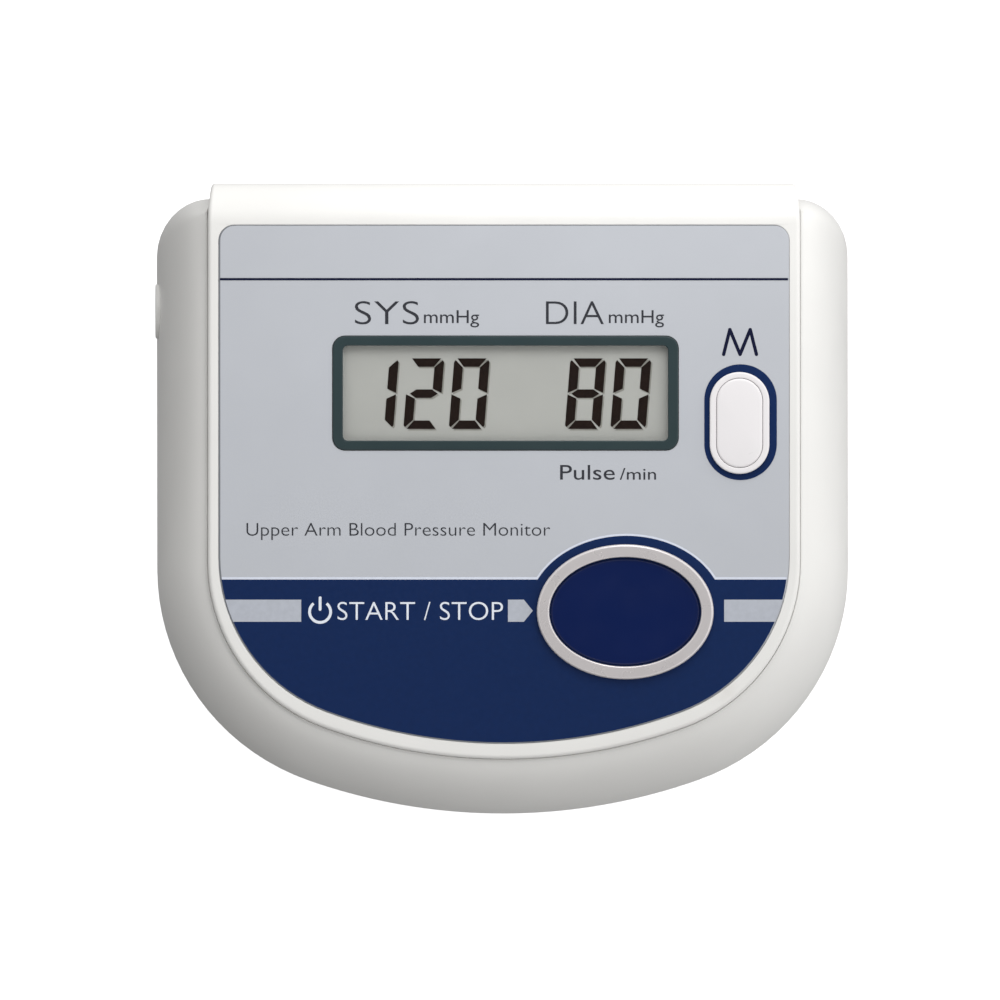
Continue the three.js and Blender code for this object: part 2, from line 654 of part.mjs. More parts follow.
function makeTubes() {
  const { x, y, z, size } = MANIFOLD;
  const off = size / 2 + GAP;
  tube("pump_tube", [
    [-40.3, PUMP.y, PUMP.z], [-43, PUMP.y, PUMP.z], [-45.8, PUMP.y, PUMP.z],
    [-50.3, PUMP.y + 2.4, PUMP.z - 0.4], [x, PUMP.y + 7.5, PUMP.z - 1],
    [x, y - 9, z], [x, y - off, z],
  ], 14);
  tube("socket_tube", [
    [x, y + off, z], [x, y + 9, z],
    [x + 0.5, 20, 15.8], [x + 1.6, 30, 17.4], [x + 1, 36.4, 18.3],
    [x - 2, SOCKET.y - 0.6, SOCKET.z], [-56, SOCKET.y, SOCKET.z],
    [-58.5, SOCKET.y, SOCKET.z], [-60.8, SOCKET.y, SOCKET.z],
  ], 16);
  tube("valve_tube", [
    [x + off, y, z], [x + 5.8, y, z], [x + 7.6, y, z - 0.1],
    [VALVE.x - 0.8, y + 2.6, z - 1], [VALVE.x, VALVE.y0 - 6.5, VALVE.z + 0.4],
    [VALVE.x, VALVE.y0 - 4, VALVE.z], [VALVE.x, VALVE.y0 - GAP, VALVE.z],
  ], 14);
  const sensor = new THREE.Vector3(-34, -55, BOARD_TOP - BOARD - GAP - 3).applyMatrix4(FACE_PLACE);
  tube("sensor_tube", [
    [x, y, z + off], [x, y, z + 9],
    [x + 1, (y + sensor.y) / 2, sensor.z - 3.6], [x + 4.5, sensor.y, sensor.z - 0.6],
    [sensor.x - 6, sensor.y, sensor.z], [sensor.x - GAP, sensor.y, sensor.z],
  ], 12);
}

function makeSocket() {
  const depth = -SOCKET.face;
  const flange = SOCKET.radius + 0.8;
  const profile = [
    [0, 56], [NIPPLE, 56], [NIPPLE, 61.5],
    [flange, 61.5], [flange, 65.3], [SOCKET.radius, 65.3], [SOCKET.radius, depth],
    [SOCKET.bore, depth], [SOCKET.bore, 62.6], [0, 62.6],
  ];
  piece("air_socket", along("-x", turned(profile, 28), 0, SOCKET.y, SOCKET.z), shellWhite());
}

// ---------------------------------------------------------------- power

function makeJack() {
  const { x, z, radius, bore } = JACK;
  const wall = CASE.back - BACK_WALL;
  const body = cut(
    joined(
      solid(block(x - 4.5, x + 4.5, 45, wall - GAP, z - 4.3, z + 5)),
      solid(along("+y", disc(radius, -2, BACK_WALL - 0.4, 24), x, wall, z)),
    ),
    solid(along("+y", disc(bore, 49, 80, 20), x, 0, z)),
  );
  piece("dc_jack", geometryOf(body), darkPlastic());
  const pin = [[0, 49.3], [1, 49.3], [1, 58.6], [0.5, 59.3], [0, 59.3]];
  piece("dc_jack_pin", along("+y", turned(pin, 12), x, 0, z), brass());
}

const cellX = (i) => (i - 1.5) * CELL.pitch;
const facesBack = (i) => i % 2 === 0; // the positive end is at the back of every other cell

function makeCells() {
  const { radius, length, nub, nubRadius } = CELL;
  const profile = [
    [0, 0], [radius - 0.5, 0], [radius, 0.5], [radius, length - 0.6], [radius - 0.6, length],
    [nubRadius, length], [nubRadius, length + nub], [0, length + nub],
  ];
  for (let i = 0; i < 4; i += 1) {
    const way = facesBack(i) ? "+y" : "-y";
    const flat = facesBack(i) ? BAY.front + 6 : BAY.back - 6;
    const cell = along(way, turned(profile, 20), cellX(i), flat, CELL.z);
    piece(`battery_cell_${i + 1}`, cell, cellJacket());
  }
}

// A contact plate across one end of the bay, with a spring for each flat cell end it meets.
function contact(name, cells, atBack) {
  const wall = atBack ? BAY.back - GAP - 0.4 : BAY.front + GAP;
  const span = cells.map(cellX);
  const margin = 5.5;
  const left = Math.min(...span) - margin;
  const right = Math.max(...span) + margin;
  const plate = solid(block(left, right, wall, wall + 0.4, 5.5, 17));
  const springs = cells.filter((i) => facesBack(i) !== atBack).map((i) => {
    const from = atBack ? wall + 0.1 : wall + 0.3;
    const to = from + (atBack ? -4.6 : 4.6);
    return solid(coil(from, to, { x: cellX(i), z: CELL.z }, 4.4, 2.8, 3, 0.35, 9));
  });
  piece(name, geometryOf(joined(plate, ...springs)), springSteel());
}

function makeContacts() {
  contact("contact_front_left", [0, 1], false);
  contact("contact_front_right", [2, 3], false);
  contact("contact_back_left", [0], true);
  contact("contact_back_middle", [1, 2], true);
  contact("contact_back_right", [3], true);
}

makeTopCover();
makeSurround();
makeLowerCase();
makeBatteryCover();
makeFeet();
makeCaseScrews();
makeOverlay();
makeDisplay();
makeButtons();
makeBoard();
makeSwitch("start_switch", START);
makeSwitch("memory_switch", MEMORY);
makePump();
makeValve();
makeManifold();
makeTubes();
makeSocket();
makeJack();
makeCells();
makeContacts();

export default monitor;
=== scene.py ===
"""Looks for an upper arm blood pressure monitor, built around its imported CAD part.

Shapes are worked out in millimetres and turned into metres as their points are made.
A place on the cover is given as x across, s along the sloping face (0 where the roll
starts, growing towards the back and round the roll) and depth below the skin.
"""

import json
import math

import bmesh
import bpy
from mathutils import Matrix, Vector, geometry


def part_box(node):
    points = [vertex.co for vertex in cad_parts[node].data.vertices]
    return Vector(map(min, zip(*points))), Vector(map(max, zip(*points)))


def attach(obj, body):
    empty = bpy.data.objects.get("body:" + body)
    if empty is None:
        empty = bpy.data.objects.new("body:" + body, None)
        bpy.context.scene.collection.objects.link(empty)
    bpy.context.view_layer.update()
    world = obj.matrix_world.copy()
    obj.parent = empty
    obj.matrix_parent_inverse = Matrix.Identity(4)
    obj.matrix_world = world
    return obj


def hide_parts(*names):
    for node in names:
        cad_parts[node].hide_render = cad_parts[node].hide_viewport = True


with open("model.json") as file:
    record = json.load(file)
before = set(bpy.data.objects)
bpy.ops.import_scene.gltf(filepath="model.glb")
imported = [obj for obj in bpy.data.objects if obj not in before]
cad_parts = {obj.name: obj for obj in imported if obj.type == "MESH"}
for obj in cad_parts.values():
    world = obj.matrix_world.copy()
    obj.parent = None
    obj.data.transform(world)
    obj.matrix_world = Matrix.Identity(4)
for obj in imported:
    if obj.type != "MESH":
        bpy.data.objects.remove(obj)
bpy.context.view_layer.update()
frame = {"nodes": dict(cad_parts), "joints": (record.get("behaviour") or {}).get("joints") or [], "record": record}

MM = 0.001


# ---------------------------------------------------------------- sizes read from the frame

def mm_box(node):
    low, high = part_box(node)
    return low / MM, high / MM


def joint_axis(name):
    joint = next(j for j in frame["joints"] if j["name"] == name)
    return Vector(joint["axis"])


PRESS = joint_axis("start_press")
SLOPE = math.asin(PRESS.y)
UPHILL = Vector((0, math.cos(SLOPE), math.sin(SLOPE)))
NORMAL = Vector((0, -math.sin(SLOPE), math.cos(SLOPE)))

_, cover_high = mm_box("top_cover")
skirt_low, skirt_high = mm_box("side_surround")
tub_low, _ = mm_box("lower_case")
_, label_high = mm_box("face_overlay")
door_low, door_high = mm_box("battery_cover")

ROLL = 8.0  # radius that rolls the face over into the back
ROLL_Y = cover_high.y - ROLL
ROLL_Z = cover_high.z - ROLL
ORIGIN = Vector((0, ROLL_Y, ROLL_Z)) + ROLL * NORMAL
ARC = ROLL * (math.pi / 2 + SLOPE)  # length of the skin round the roll
SEAM_Z = skirt_low.z  # height of the joint between the case halves, roughly


def face_coordinates(point):
    """x across, s up the slope and height above the face of a point of the frame."""
    offset = point - ORIGIN
    return Vector((offset.x, offset.dot(UPHILL), offset.dot(NORMAL)))


def face_centre(node):
    low, high = mm_box(node)
    return face_coordinates((low + high) / 2)


DISPLAY = face_centre("lcd_frame")
START = face_centre("start_switch_plunger")
MEMORY = face_centre("memory_switch_plunger")

PLATE = 2.0  # thickness of the cover
COVER_SKIRT = 5.0  # depth of the cover's side walls
WALL = 2.2
BACK_WALL = 4.2
TONGUE = 1.0  # the battery cover's side tongues reach this far past its plate
DOOR_HALF = (door_high.x - door_low.x) / 2 - TONGUE
BAY = {"half": 30.6, "front": -4.0, "back": 53.5, "ceiling": 19.0, "wall": 1.5}

socket_low, socket_high = mm_box("air_socket")
jack_low, jack_high = mm_box("dc_jack")
SOCKET = {
    "y": (socket_low.y + socket_high.y) / 2, "z": (socket_low.z + socket_high.z) / 2,
    "radius": 5.5, "bore": 3.2,
}
JACK = {"x": (jack_low.x + jack_high.x) / 2, "z": 18.2, "radius": 4.0, "bore": 2.8}

CASE = {
    "half": skirt_high.x, "front": skirt_low.y, "corner": 45.3, "sweep": 117.5,
    "back": 61.65, "back_corner": 10.2,
}
COVER = {
    "half": cover_high.x, "front": -107.8, "corner": 35.4, "sweep": 106.7,
    "back": ARC + ROLL_Z - 24, "back_corner": 1.6,
}
LABEL = {
    "half": label_high.x, "front": -104.7, "corner": 33.2, "sweep": 103.6,
    "back": -0.4, "back_corner": 3.1,
}


# ---------------------------------------------------------------- outlines

def spread(start, end, steps):
    return [start + (end - start) * i / steps for i in range(steps + 1)]


def smooth(value, low, high):
    """Rises gently from 0 to 1 between two values."""
    share = min(max((value - low) / (high - low), 0), 1)
    return share * share * (3 - 2 * share)


def arc(cx, cy, radius, start, end, steps):
    return [
        Vector((cx + radius * math.cos(a), cy + radius * math.sin(a)))
        for a in spread(start, end, steps)
    ]


def side_stops(low, high, rolled):
    """Heights of the points along a straight side; a rolled side is finer round the roll."""
    if not rolled:
        return spread(low, high, 18)[1:-1]
    return spread(low, 0, 12)[1:] + spread(0, ARC, 24)[1:] + spread(ARC, high, 5)[1:-1]


def outline(o, rolled=False):
    """Counter-clockwise points: back corners, straight sides, front corners and the sweep."""
    sweep_y = o["front"] + o["sweep"]
    corner_x = o["half"] - o["corner"]
    corner_y = sweep_y - math.sqrt((o["sweep"] - o["corner"]) ** 2 - corner_x ** 2)
    turn = math.atan2(corner_y - sweep_y, corner_x)
    back_x = o["half"] - o["back_corner"]
    back_y = o["back"] - o["back_corner"]
    stops = side_stops(corner_y, back_y, rolled)
    right_back = arc(back_x, back_y, o["back_corner"], 0, math.pi / 2, 9)
    back = [Vector((x, o["back"])) for x in spread(back_x, -back_x, 16)[1:-1]]
    left_back = arc(-back_x, back_y, o["back_corner"], math.pi / 2, math.pi, 9)
    left = [Vector((-o["half"], y)) for y in reversed(stops)]
    left_front = arc(-corner_x, corner_y, o["corner"], math.pi, math.pi - turn, 18)
    sweep = arc(0, sweep_y, o["sweep"], -math.pi - turn, turn, 36)[1:-1]
    right_front = arc(corner_x, corner_y, o["corner"], turn, 0, 18)
    right = [Vector((o["half"], y)) for y in stops]
    return right_back + back + left_back + left + left_front + sweep + right_front + right


def grown(o, by):
    bigger = dict(o)
    for key, sign in (("half", 1), ("front", -1), ("corner", 1), ("sweep", 1), ("back", 1)):
        bigger[key] = o[key] + sign * by
    bigger["back_corner"] = max(o["back_corner"] + by, 0.5)
    return bigger


def plan(o, rolled=False):
    """A shape: a function that gives the outline's points when grown by an amount."""
    return lambda by=0.0: outline(grown(o, by), rolled)


def rounded(width, height, radius, centre=(0, 0), steps=6):
    def points(by=0.0):
        r = max(radius + by, 0.05)
        x = width / 2 + by - r
        y = height / 2 + by - r
        quarter = math.pi / 2
        corners = ((x, y), (-x, y), (-x, -y), (x, -y))
        return [
            point
            for turn, (cx, cy) in enumerate(corners)
            for point in arc(centre[0] + cx, centre[1] + cy, r, turn * quarter, (turn + 1) * quarter, steps)
        ]
    return points


def stadium(width, height, centre=(0, 0)):
    return rounded(width, height, width / 2 - 0.05, centre, steps=16)


def ellipse(rx, ry, centre=(0, 0), steps=96):
    def points(by=0.0):
        return [
            Vector((centre[0] + (rx + by) * math.cos(a), centre[1] + (ry + by) * math.sin(a)))
            for a in spread(0, 2 * math.pi, steps)[:-1]
        ]
    return points


def circle(radius, centre=(0, 0), steps=64):
    return ellipse(radius, radius, centre, steps)


def inside(points, polygon):
    x, y = points
    odd = False
    for a, b in zip(polygon, polygon[1:] + polygon[:1]):
        if (a.y > y) != (b.y > y) and x < (b.x - a.x) * (y - a.y) / (b.y - a.y) + a.x:
            odd = not odd
    return odd


# ---------------------------------------------------------------- where outlines are laid

def on_skin(x, s, depth):
    """A point at a depth below the cover's skin, on the slope, the roll or the back."""
    if s <= 0:
        return ORIGIN + Vector((x, 0, 0)) + s * UPHILL - depth * NORMAL
    if s < ARC:
        lean = s / ROLL - SLOPE
        reach = ROLL - depth
        return Vector((x, ROLL_Y + reach * math.sin(lean), ROLL_Z + reach * math.cos(lean)))
    return Vector((x, ROLL_Y + ROLL - depth, ROLL_Z - (s - ARC)))


APRON_NARROWING = 0.8  # each side of the cover draws in by this much round the roll


def on_cover(x, s, depth):
    """As on_skin, for the cover itself: narrower round the roll, with a thin back apron."""
    narrow = 1 - smooth(s, 0, ARC) * APRON_NARROWING / COVER["half"]
    if depth > PLATE:
        depth = PLATE + (depth - PLATE) * (1 - smooth(s, ARC + 9, ARC + 17))
    return on_skin(x * narrow, s, depth)


def on_table(x, y, z):
    """For plan outlines: the third value is the height above the table."""
    return Vector((x, y, z))


def below_table(x, y, depth):
    """For plan outlines too, with a depth below the table, so that up is negative."""
    return Vector((x, y, -depth))


# ---------------------------------------------------------------- making meshes

SHARP = 38  # an edge that turns by more than this many degrees stays sharp


def mesh_from(name, made):
    data = bpy.data.meshes.new(name)
    made.to_mesh(data)
    made.free()
    return data


def in_scene(name, data):
    made = bpy.data.objects.new(name, data)
    bpy.context.scene.collection.objects.link(made)
    return made


def even_normals(piece):
    even = piece.modifiers.new("even_normals", "WEIGHTED_NORMAL")
    even.keep_sharp = True


class Body:
    """Builds one mesh from rings of points, bridged side to side and filled at the ends."""

    def __init__(self, place):
        self.mesh = bmesh.new()
        self.place = place
        self.flat = {}

    def ring(self, points, depth):
        verts = []
        for p in points:
            vert = self.mesh.verts.new(self.place(p.x, p.y, depth) * MM)
            self.flat[vert] = Vector((p.x, p.y))
            verts.append(vert)
        return verts

    def bridge(self, first, second):
        count = len(first)
        for i in range(count):
            j = (i + 1) % count
            self.mesh.faces.new((first[i], first[j], second[j], second[i]))

    def walls(self, rings):
        made = [self.ring(points, depth) for points, depth in rings]
        for first, second in zip(made, made[1:]):
            self.bridge(first, second)
        return made[0], made[-1]

    def fill(self, outer, holes=(), cross_rows=False):
        loops = [outer, *holes]
        verts = [vert for loop in loops for vert in loop]
        edges = []
        start = 0
        for loop in loops:
            edges += [(start + i, start + (i + 1) % len(loop)) for i in range(len(loop))]
            start += len(loop)
        if cross_rows:
            edges += self.rows(outer)
        flat = [self.flat[vert] for vert in verts]
        found = geometry.delaunay_2d_cdt(flat, edges, [], 1, 1e-7)
        points, faces, origins = found[0], found[2], found[3]
        hole_shapes = [[self.flat[vert] for vert in hole] for hole in holes]
        for face in faces:
            centre = sum((points[i] for i in face), Vector((0, 0))) / len(face)
            if not any(inside(centre, shape) for shape in hole_shapes):
                self.mesh.faces.new([verts[origins[i][0]] for i in face])

    def rows(self, outer):
        """Cross lines between the two straight sides, so that a fill can follow the roll."""
        half = max(self.flat[vert].x for vert in outer)
        sides = {}
        for i, vert in enumerate(outer):
            x, s = self.flat[vert]
            if s > -0.001 and abs(abs(x) - half) < 0.001:
                sides.setdefault(round(s, 3), []).append(i)
        return [tuple(pair) for pair in sides.values() if len(pair) == 2]

    def close(self, name, material, body, replaces=(), weighted=True):
        bmesh.ops.remove_doubles(self.mesh, verts=self.mesh.verts, dist=1e-8)
        bmesh.ops.recalc_face_normals(self.mesh, faces=self.mesh.faces)
        return shown(name, mesh_from(name, self.mesh), material, body, replaces, weighted=weighted)


def shown(name, data, material, body, replaces=(), sharp=SHARP, weighted=True):
    """Puts a mesh in the scene as a named piece that rides on a body of the frame."""
    data.shade_smooth()
    data.set_sharp_from_angle(angle=math.radians(sharp))
    piece = in_scene(name, data)
    data.materials.append(material)
    if weighted:
        even_normals(piece)
    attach(piece, body)
    if replaces:
        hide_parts(*replaces)
    return piece


def edge(shape, top, bottom, top_round, bottom_round, outward=1, steps=5):
    """Rings down a wall with rounded edges; outward is -1 for the wall of a hole."""
    rings = []
    for a in spread(0, math.pi / 2, steps):
        draw = outward * top_round * (math.sin(a) - 1)
        rings.append((shape(draw), top + math.copysign(top_round, bottom - top) * (1 - math.cos(a))))
    for a in spread(0, math.pi / 2, steps):
        draw = outward * bottom_round * (math.cos(a) - 1)
        rings.append((shape(draw), bottom - math.copysign(bottom_round, bottom - top) * (1 - math.sin(a))))
    return rings


def slab(name, shape, holes, top, bottom, rounding, look, body="case", place=on_skin, replaces=()):
    """A plate with rounded edges and holes. Depths run down from the skin, so up is negative."""
    made = Body(place)
    top_rim, bottom_rim = made.walls(edge(shape, top, bottom, rounding, rounding))
    ends = [made.walls(edge(hole, top, bottom, rounding, rounding, outward=-1)) for hole in holes]
    made.fill(top_rim, [first for first, _ in ends])
    made.fill(bottom_rim, [last for _, last in ends])
    return made.close(name, LOOKS[look], body, replaces)


def crowned(name, shape, centre, top, crown, rounding, bottom, look, body, lip):
    """A button, which is a body of its own: crowned top, rounded shoulder, wall and a lip at its foot."""
    made = Body(on_skin)
    middle = Vector((centre[0], centre[1]))
    rim = shape(-rounding)
    previous = None
    steps = 14
    for i in range(1, steps + 1):
        share = i / steps
        points = [middle + (p - middle) * share for p in rim]
        level = made.ring(points, -(top - crown * share * share))
        if previous is None:
            made.fill(level)
        else:
            made.bridge(previous, level)
        previous = level
    rings = edge(shape, -(top - crown), bottom, rounding, 0.1)
    reach, depth = lip
    rings += [(shape(reach), bottom), (shape(reach), depth)]
    first, last = made.walls(rings)
    made.bridge(previous, first)
    made.fill(last)
    return made.close(name, LOOKS[look], body, [body], weighted=False)


def turned(name, profile, axis, origin, look, replaces, sides=72):
    """Spins a profile of (radius, distance) points about an axis through a point of the case."""
    along = Vector(axis).normalized()
    side = along.orthogonal().normalized()
    up = along.cross(side)
    made = bmesh.new()
    rings = []
    for radius, distance in profile:
        middle = Vector(origin) + along * distance
        if radius < 1e-6:
            rings.append([made.verts.new(middle * MM)])
            continue
        rings.append([
            made.verts.new((middle + radius * (side * math.cos(a) + up * math.sin(a))) * MM)
            for a in spread(0, 2 * math.pi, sides)[:-1]
        ])
    for first, second in zip(rings, rings[1:]):
        for i in range(sides):
            j = (i + 1) % sides
            quad = (
                first[i % len(first)], first[j % len(first)],
                second[j % len(second)], second[i % len(second)],
            )
            made.faces.new(list(dict.fromkeys(quad)))
    bmesh.ops.recalc_face_normals(made, faces=made.faces)
    return shown(name, mesh_from(name, made), LOOKS[look], "case", replaces, sharp=35)


def fillet(corner_radius, corner_distance, size, start, end, steps=5):
    """Points of a rounded corner of a profile, from one angle to another in degrees."""
    return [
        (corner_radius + size * math.cos(math.radians(a)), corner_distance + size * math.sin(math.radians(a)))
        for a in spread(start, end, steps)
    ]


def cut_away(piece, cutters):
    """Cuts closed meshes out of a piece, and removes them from the scene."""
    for cutter in cutters:
        step = piece.modifiers.new("cut", "BOOLEAN")
        step.operation = "DIFFERENCE"
        step.solver = "EXACT"
        step.object = cutter
    graph = bpy.context.evaluated_depsgraph_get()
    data = bpy.data.meshes.new_from_object(piece.evaluated_get(graph))
    for step in list(piece.modifiers):
        piece.modifiers.remove(step)
    old = piece.data
    piece.data = data
    bpy.data.meshes.remove(old)
    data.shade_smooth()
    data.set_sharp_from_angle(angle=math.radians(SHARP))
    even_normals(piece)
    for cutter in cutters:
        bpy.data.objects.remove(cutter)


def soften(piece, width, segments):
    """Rounds the sharp edges of a piece a little."""
    bevel = piece.modifiers.new("rounding", "BEVEL")
    bevel.width = width * MM
    bevel.segments = segments
    bevel.limit_method = "ANGLE"
    bevel.angle_limit = math.radians(35)
    bevel.harden_normals = True


def cutter_prism(points, z0, z1):
    """A cutter with an upright wall, between two heights."""
    made = Body(on_table)
    low = made.ring(points, z0)
    high = made.ring(points, z1)
    made.bridge(low, high)
    made.fill(low)
    made.fill(high)
    bmesh.ops.recalc_face_normals(made.mesh, faces=made.mesh.faces)
    return in_scene("cutter", mesh_from("cutter", made.mesh))


def cutter_rod(radius, length, axis, origin):
    """A round cutter that runs from a point along an axis."""
    rod = cutter_prism(circle(radius)(), 0, length)
    turn = Vector((0, 0, 1)).rotation_difference(Vector(axis)).to_matrix().to_4x4()
    rod.matrix_world = Matrix.Translation(Vector(origin) * MM) @ turn
    bpy.context.view_layer.update()
    return rod


# ---------------------------------------------------------------- materials

def linear(red, green, blue):
    """The linear colour of an 8-bit screen colour."""
    def channel(value):
        value /= 255
        return value / 12.92 if value <= 0.04045 else ((value + 0.055) / 1.055) ** 2.4
    return (channel(red), channel(green), channel(blue))


class Look:
    """A Principled material with its helper nodes."""

    def __init__(self, name, roughness, metallic=0.0, **sockets):
        self.material = bpy.data.materials.new(name)
        self.material.use_nodes = True
        self.tree = self.material.node_tree
        self.shader = self.tree.nodes["Principled BSDF"]
        self.shader.inputs["Roughness"].default_value = roughness
        self.shader.inputs["Metallic"].default_value = metallic
        for socket, value in sockets.items():
            self.shader.inputs[socket.replace("_", " ")].default_value = value
        self.place = self.add("ShaderNodeTexCoord").outputs["Object"]

    def add(self, kind, **settings):
        node = self.tree.nodes.new(kind)
        for key, value in settings.items():
            setattr(node, key, value)
        return node

    def link(self, source, target):
        self.tree.links.new(source, target)

    def noise(self, size, detail=3.0, stretch=(1, 1, 1)):
        """Noise whose features are about size millimetres across."""
        mapping = self.add("ShaderNodeMapping")
        mapping.inputs["Scale"].default_value = stretch
        self.link(self.place, mapping.inputs["Vector"])
        texture = self.add("ShaderNodeTexNoise")
        texture.inputs["Scale"].default_value = 1 / (size * MM)
        texture.inputs["Detail"].default_value = detail
        self.link(mapping.outputs["Vector"], texture.inputs["Vector"])
        return texture.outputs["Fac"]

    def remap(self, value, low, high, start=0.3, end=0.7):
        node = self.add("ShaderNodeMapRange")
        node.inputs["From Min"].default_value = start
        node.inputs["From Max"].default_value = end
        node.inputs["To Min"].default_value = low
        node.inputs["To Max"].default_value = high
        self.link(value, node.inputs["Value"])
        return node.outputs["Result"]

    def times(self, first, second):
        node = self.add("ShaderNodeMath", operation="MULTIPLY")
        self.link(first, node.inputs[0])
        self.link(second, node.inputs[1])
        return node.outputs["Value"]

    def mix(self, factor, first, second):
        """Mixes two colours, either of which may be a socket."""
        node = self.add("ShaderNodeMix", data_type="RGBA")
        self.link(factor, node.inputs["Factor"])
        for value, socket in ((first, node.inputs[6]), (second, node.inputs[7])):
            if isinstance(value, tuple):
                socket.default_value = (*value, 1)
            else:
                self.link(value, socket)
        return node.outputs[2]

    def mottle(self, colour, spread_by, size):
        """A base colour that drifts a little lighter and darker."""
        dark = tuple(c * (1 - spread_by) for c in colour)
        light = tuple(min(c * (1 + spread_by), 1) for c in colour)
        return self.mix(self.remap(self.noise(size), 0, 1), dark, light)

    def worn_edges(self, colour, worn, strength):
        """Rubs the convex edges towards another colour, in patches."""
        point = self.add("ShaderNodeNewGeometry").outputs["Pointiness"]
        edges = self.remap(point, 0, strength, 0.53, 0.62)
        patches = self.remap(self.noise(3.5, 4), 0.2, 1, 0.4, 0.65)
        return self.mix(self.times(edges, patches), colour, worn)

    def set_colour(self, colour):
        self.link(colour, self.shader.inputs["Base Color"])

    def vary_roughness(self, low, high, size):
        self.link(self.remap(self.noise(size, 4), low, high), self.shader.inputs["Roughness"])

    def bump(self, height, depth):
        """Depth in millimetres of a fine relief."""
        node = self.add("ShaderNodeBump")
        node.inputs["Distance"].default_value = depth * MM
        node.inputs["Strength"].default_value = 1
        self.link(height, node.inputs["Height"])
        self.link(node.outputs["Normal"], self.shader.inputs["Normal"])

    def finished(self, colour, gloss, relief):
        """Sets colour, gloss (low, high, size) and relief (size, detail, depth)."""
        self.set_colour(colour)
        self.vary_roughness(*gloss)
        size, detail, depth = relief
        self.bump(self.noise(size, detail), depth)
        return self.material


def moulded(name, colour, roughness, grain=0.35, relief=0.006, drift=0.015, worn=None, **sockets):
    """Injection-moulded plastic: fine spark texture, faint flow mottle, slightly rubbed edges."""
    look = Look(name, roughness, **sockets)
    base = look.mottle(colour, drift, 18)
    if worn:
        base = look.worn_edges(base, worn, 0.35)
    return look.finished(base, (roughness - 0.04, roughness + 0.05, 6), (grain, 2, relief))


def metal(name, colour, roughness, stretch=(1, 1, 1)):
    """Bare metal with a fine grain, which may be drawn out along one axis."""
    look = Look(name, roughness, metallic=1.0)
    look.set_colour(look.mottle(colour, 0.06, 4))
    look.vary_roughness(roughness - 0.08, roughness + 0.1, 2)
    look.bump(look.noise(0.5, 3, stretch), 0.004)
    return look.material


def rubber(name, colour):
    look = Look(name, 0.75)
    return look.finished(look.mottle(colour, 0.12, 3), (0.65, 0.85, 1.5), (0.4, 3, 0.02))


def shell_white():
    return moulded("shell_white", linear(233, 232, 229), 0.34, worn=linear(214, 211, 204),
                   Specular_IOR_Level=0.5)


def button_white():
    return moulded("button_white", linear(234, 231, 232), 0.3, grain=0.25, relief=0.003,
                   worn=linear(216, 212, 208))


def button_navy():
    return moulded("button_navy", (0.002, 0.0105, 0.072), 0.22, grain=0.2, relief=0.0015, drift=0.03,
                   worn=(0.006, 0.015, 0.08), Specular_IOR_Level=0.3)


def satin_silver():
    look = Look("satin_silver", 0.28, metallic=0.35)
    base = look.mottle(linear(216, 211, 211), 0.015, 6)
    worn = look.worn_edges(base, linear(196, 192, 191), 0.3)
    return look.finished(worn, (0.25, 0.31, 5), (0.4, 2, 0.0012))


def overlay_grey():
    return moulded("overlay_grey", linear(187, 190, 196), 0.42, grain=0.12, relief=0.003, drift=0.012)


def ink(name, colour):
    """Screen-printed ink: faint mesh mottle in the colour and the gloss."""
    look = Look(name, 0.4, Specular_IOR_Level=0.18)
    return look.finished(look.mottle(colour, 0.04, 1.1), (0.35, 0.45, 0.7), (0.12, 2, 0.002))


def frame_grey():
    return moulded("frame_grey", (0.027, 0.046, 0.05), 0.33, grain=0.25, relief=0.003, drift=0.05,
                   worn=(0.04, 0.065, 0.07), Specular_IOR_Level=0.3)


def display_grey():
    look = Look("display_grey", 0.45, Specular_IOR_Level=0.15)
    base = look.mottle(linear(190, 191, 186), 0.02, 9)
    return look.finished(base, (0.38, 0.52, 2), (0.08, 2, 0.002))


def segment_ink(name, colour):
    look = Look(name, 0.35, Specular_IOR_Level=0.15)
    look.set_colour(look.mottle(colour, 0.15, 1.4))
    look.vary_roughness(0.3, 0.42, 0.8)
    return look.material


def clear_window():
    look = Look("clear_window", 0.06, Alpha=0.05, IOR=1.49)
    base = look.mottle((0.02, 0.02, 0.02), 0.02, 12)
    return look.finished(base, (0.04, 0.1, 5), (6, 2, 0.002))


def silicone():
    look = Look("silicone", 0.42, Subsurface_Weight=0.25, Subsurface_Scale=0.002)
    base = look.mottle((0.58, 0.61, 0.57), 0.05, 5)
    return look.finished(base, (0.36, 0.5, 3), (0.5, 2, 0.006))


def board_green():
    """Solder resist over the lines of the copper beneath it."""
    look = Look("board_green", 0.32, Coat_Weight=0.4, Coat_Roughness=0.2)
    base = look.mottle((0.02, 0.11, 0.04), 0.12, 6)
    lines = look.add("ShaderNodeTexWave", wave_type="BANDS", bands_direction="X")
    lines.inputs["Scale"].default_value = 120
    lines.inputs["Distortion"].default_value = 6
    lines.inputs["Detail"].default_value = 0
    look.link(look.place, lines.inputs["Vector"])
    traces = look.remap(lines.outputs["Fac"], 0, 0.8, 0.72, 0.8)
    look.set_colour(look.mix(traces, base, (0.045, 0.2, 0.08)))
    look.vary_roughness(0.25, 0.4, 4)
    look.bump(traces, 0.03)
    return look.material


def cell_jacket():
    """A printed foil sleeve, rubbed paler along its edges."""
    look = Look("cell_jacket", 0.3, metallic=0.25, Coat_Weight=0.3, Coat_Roughness=0.15)
    base = look.mottle(linear(61, 95, 74), 0.08, 3)
    worn = look.worn_edges(base, linear(170, 172, 168), 0.6)
    return look.finished(worn, (0.24, 0.38, 1.5), (0.6, 3, 0.006))


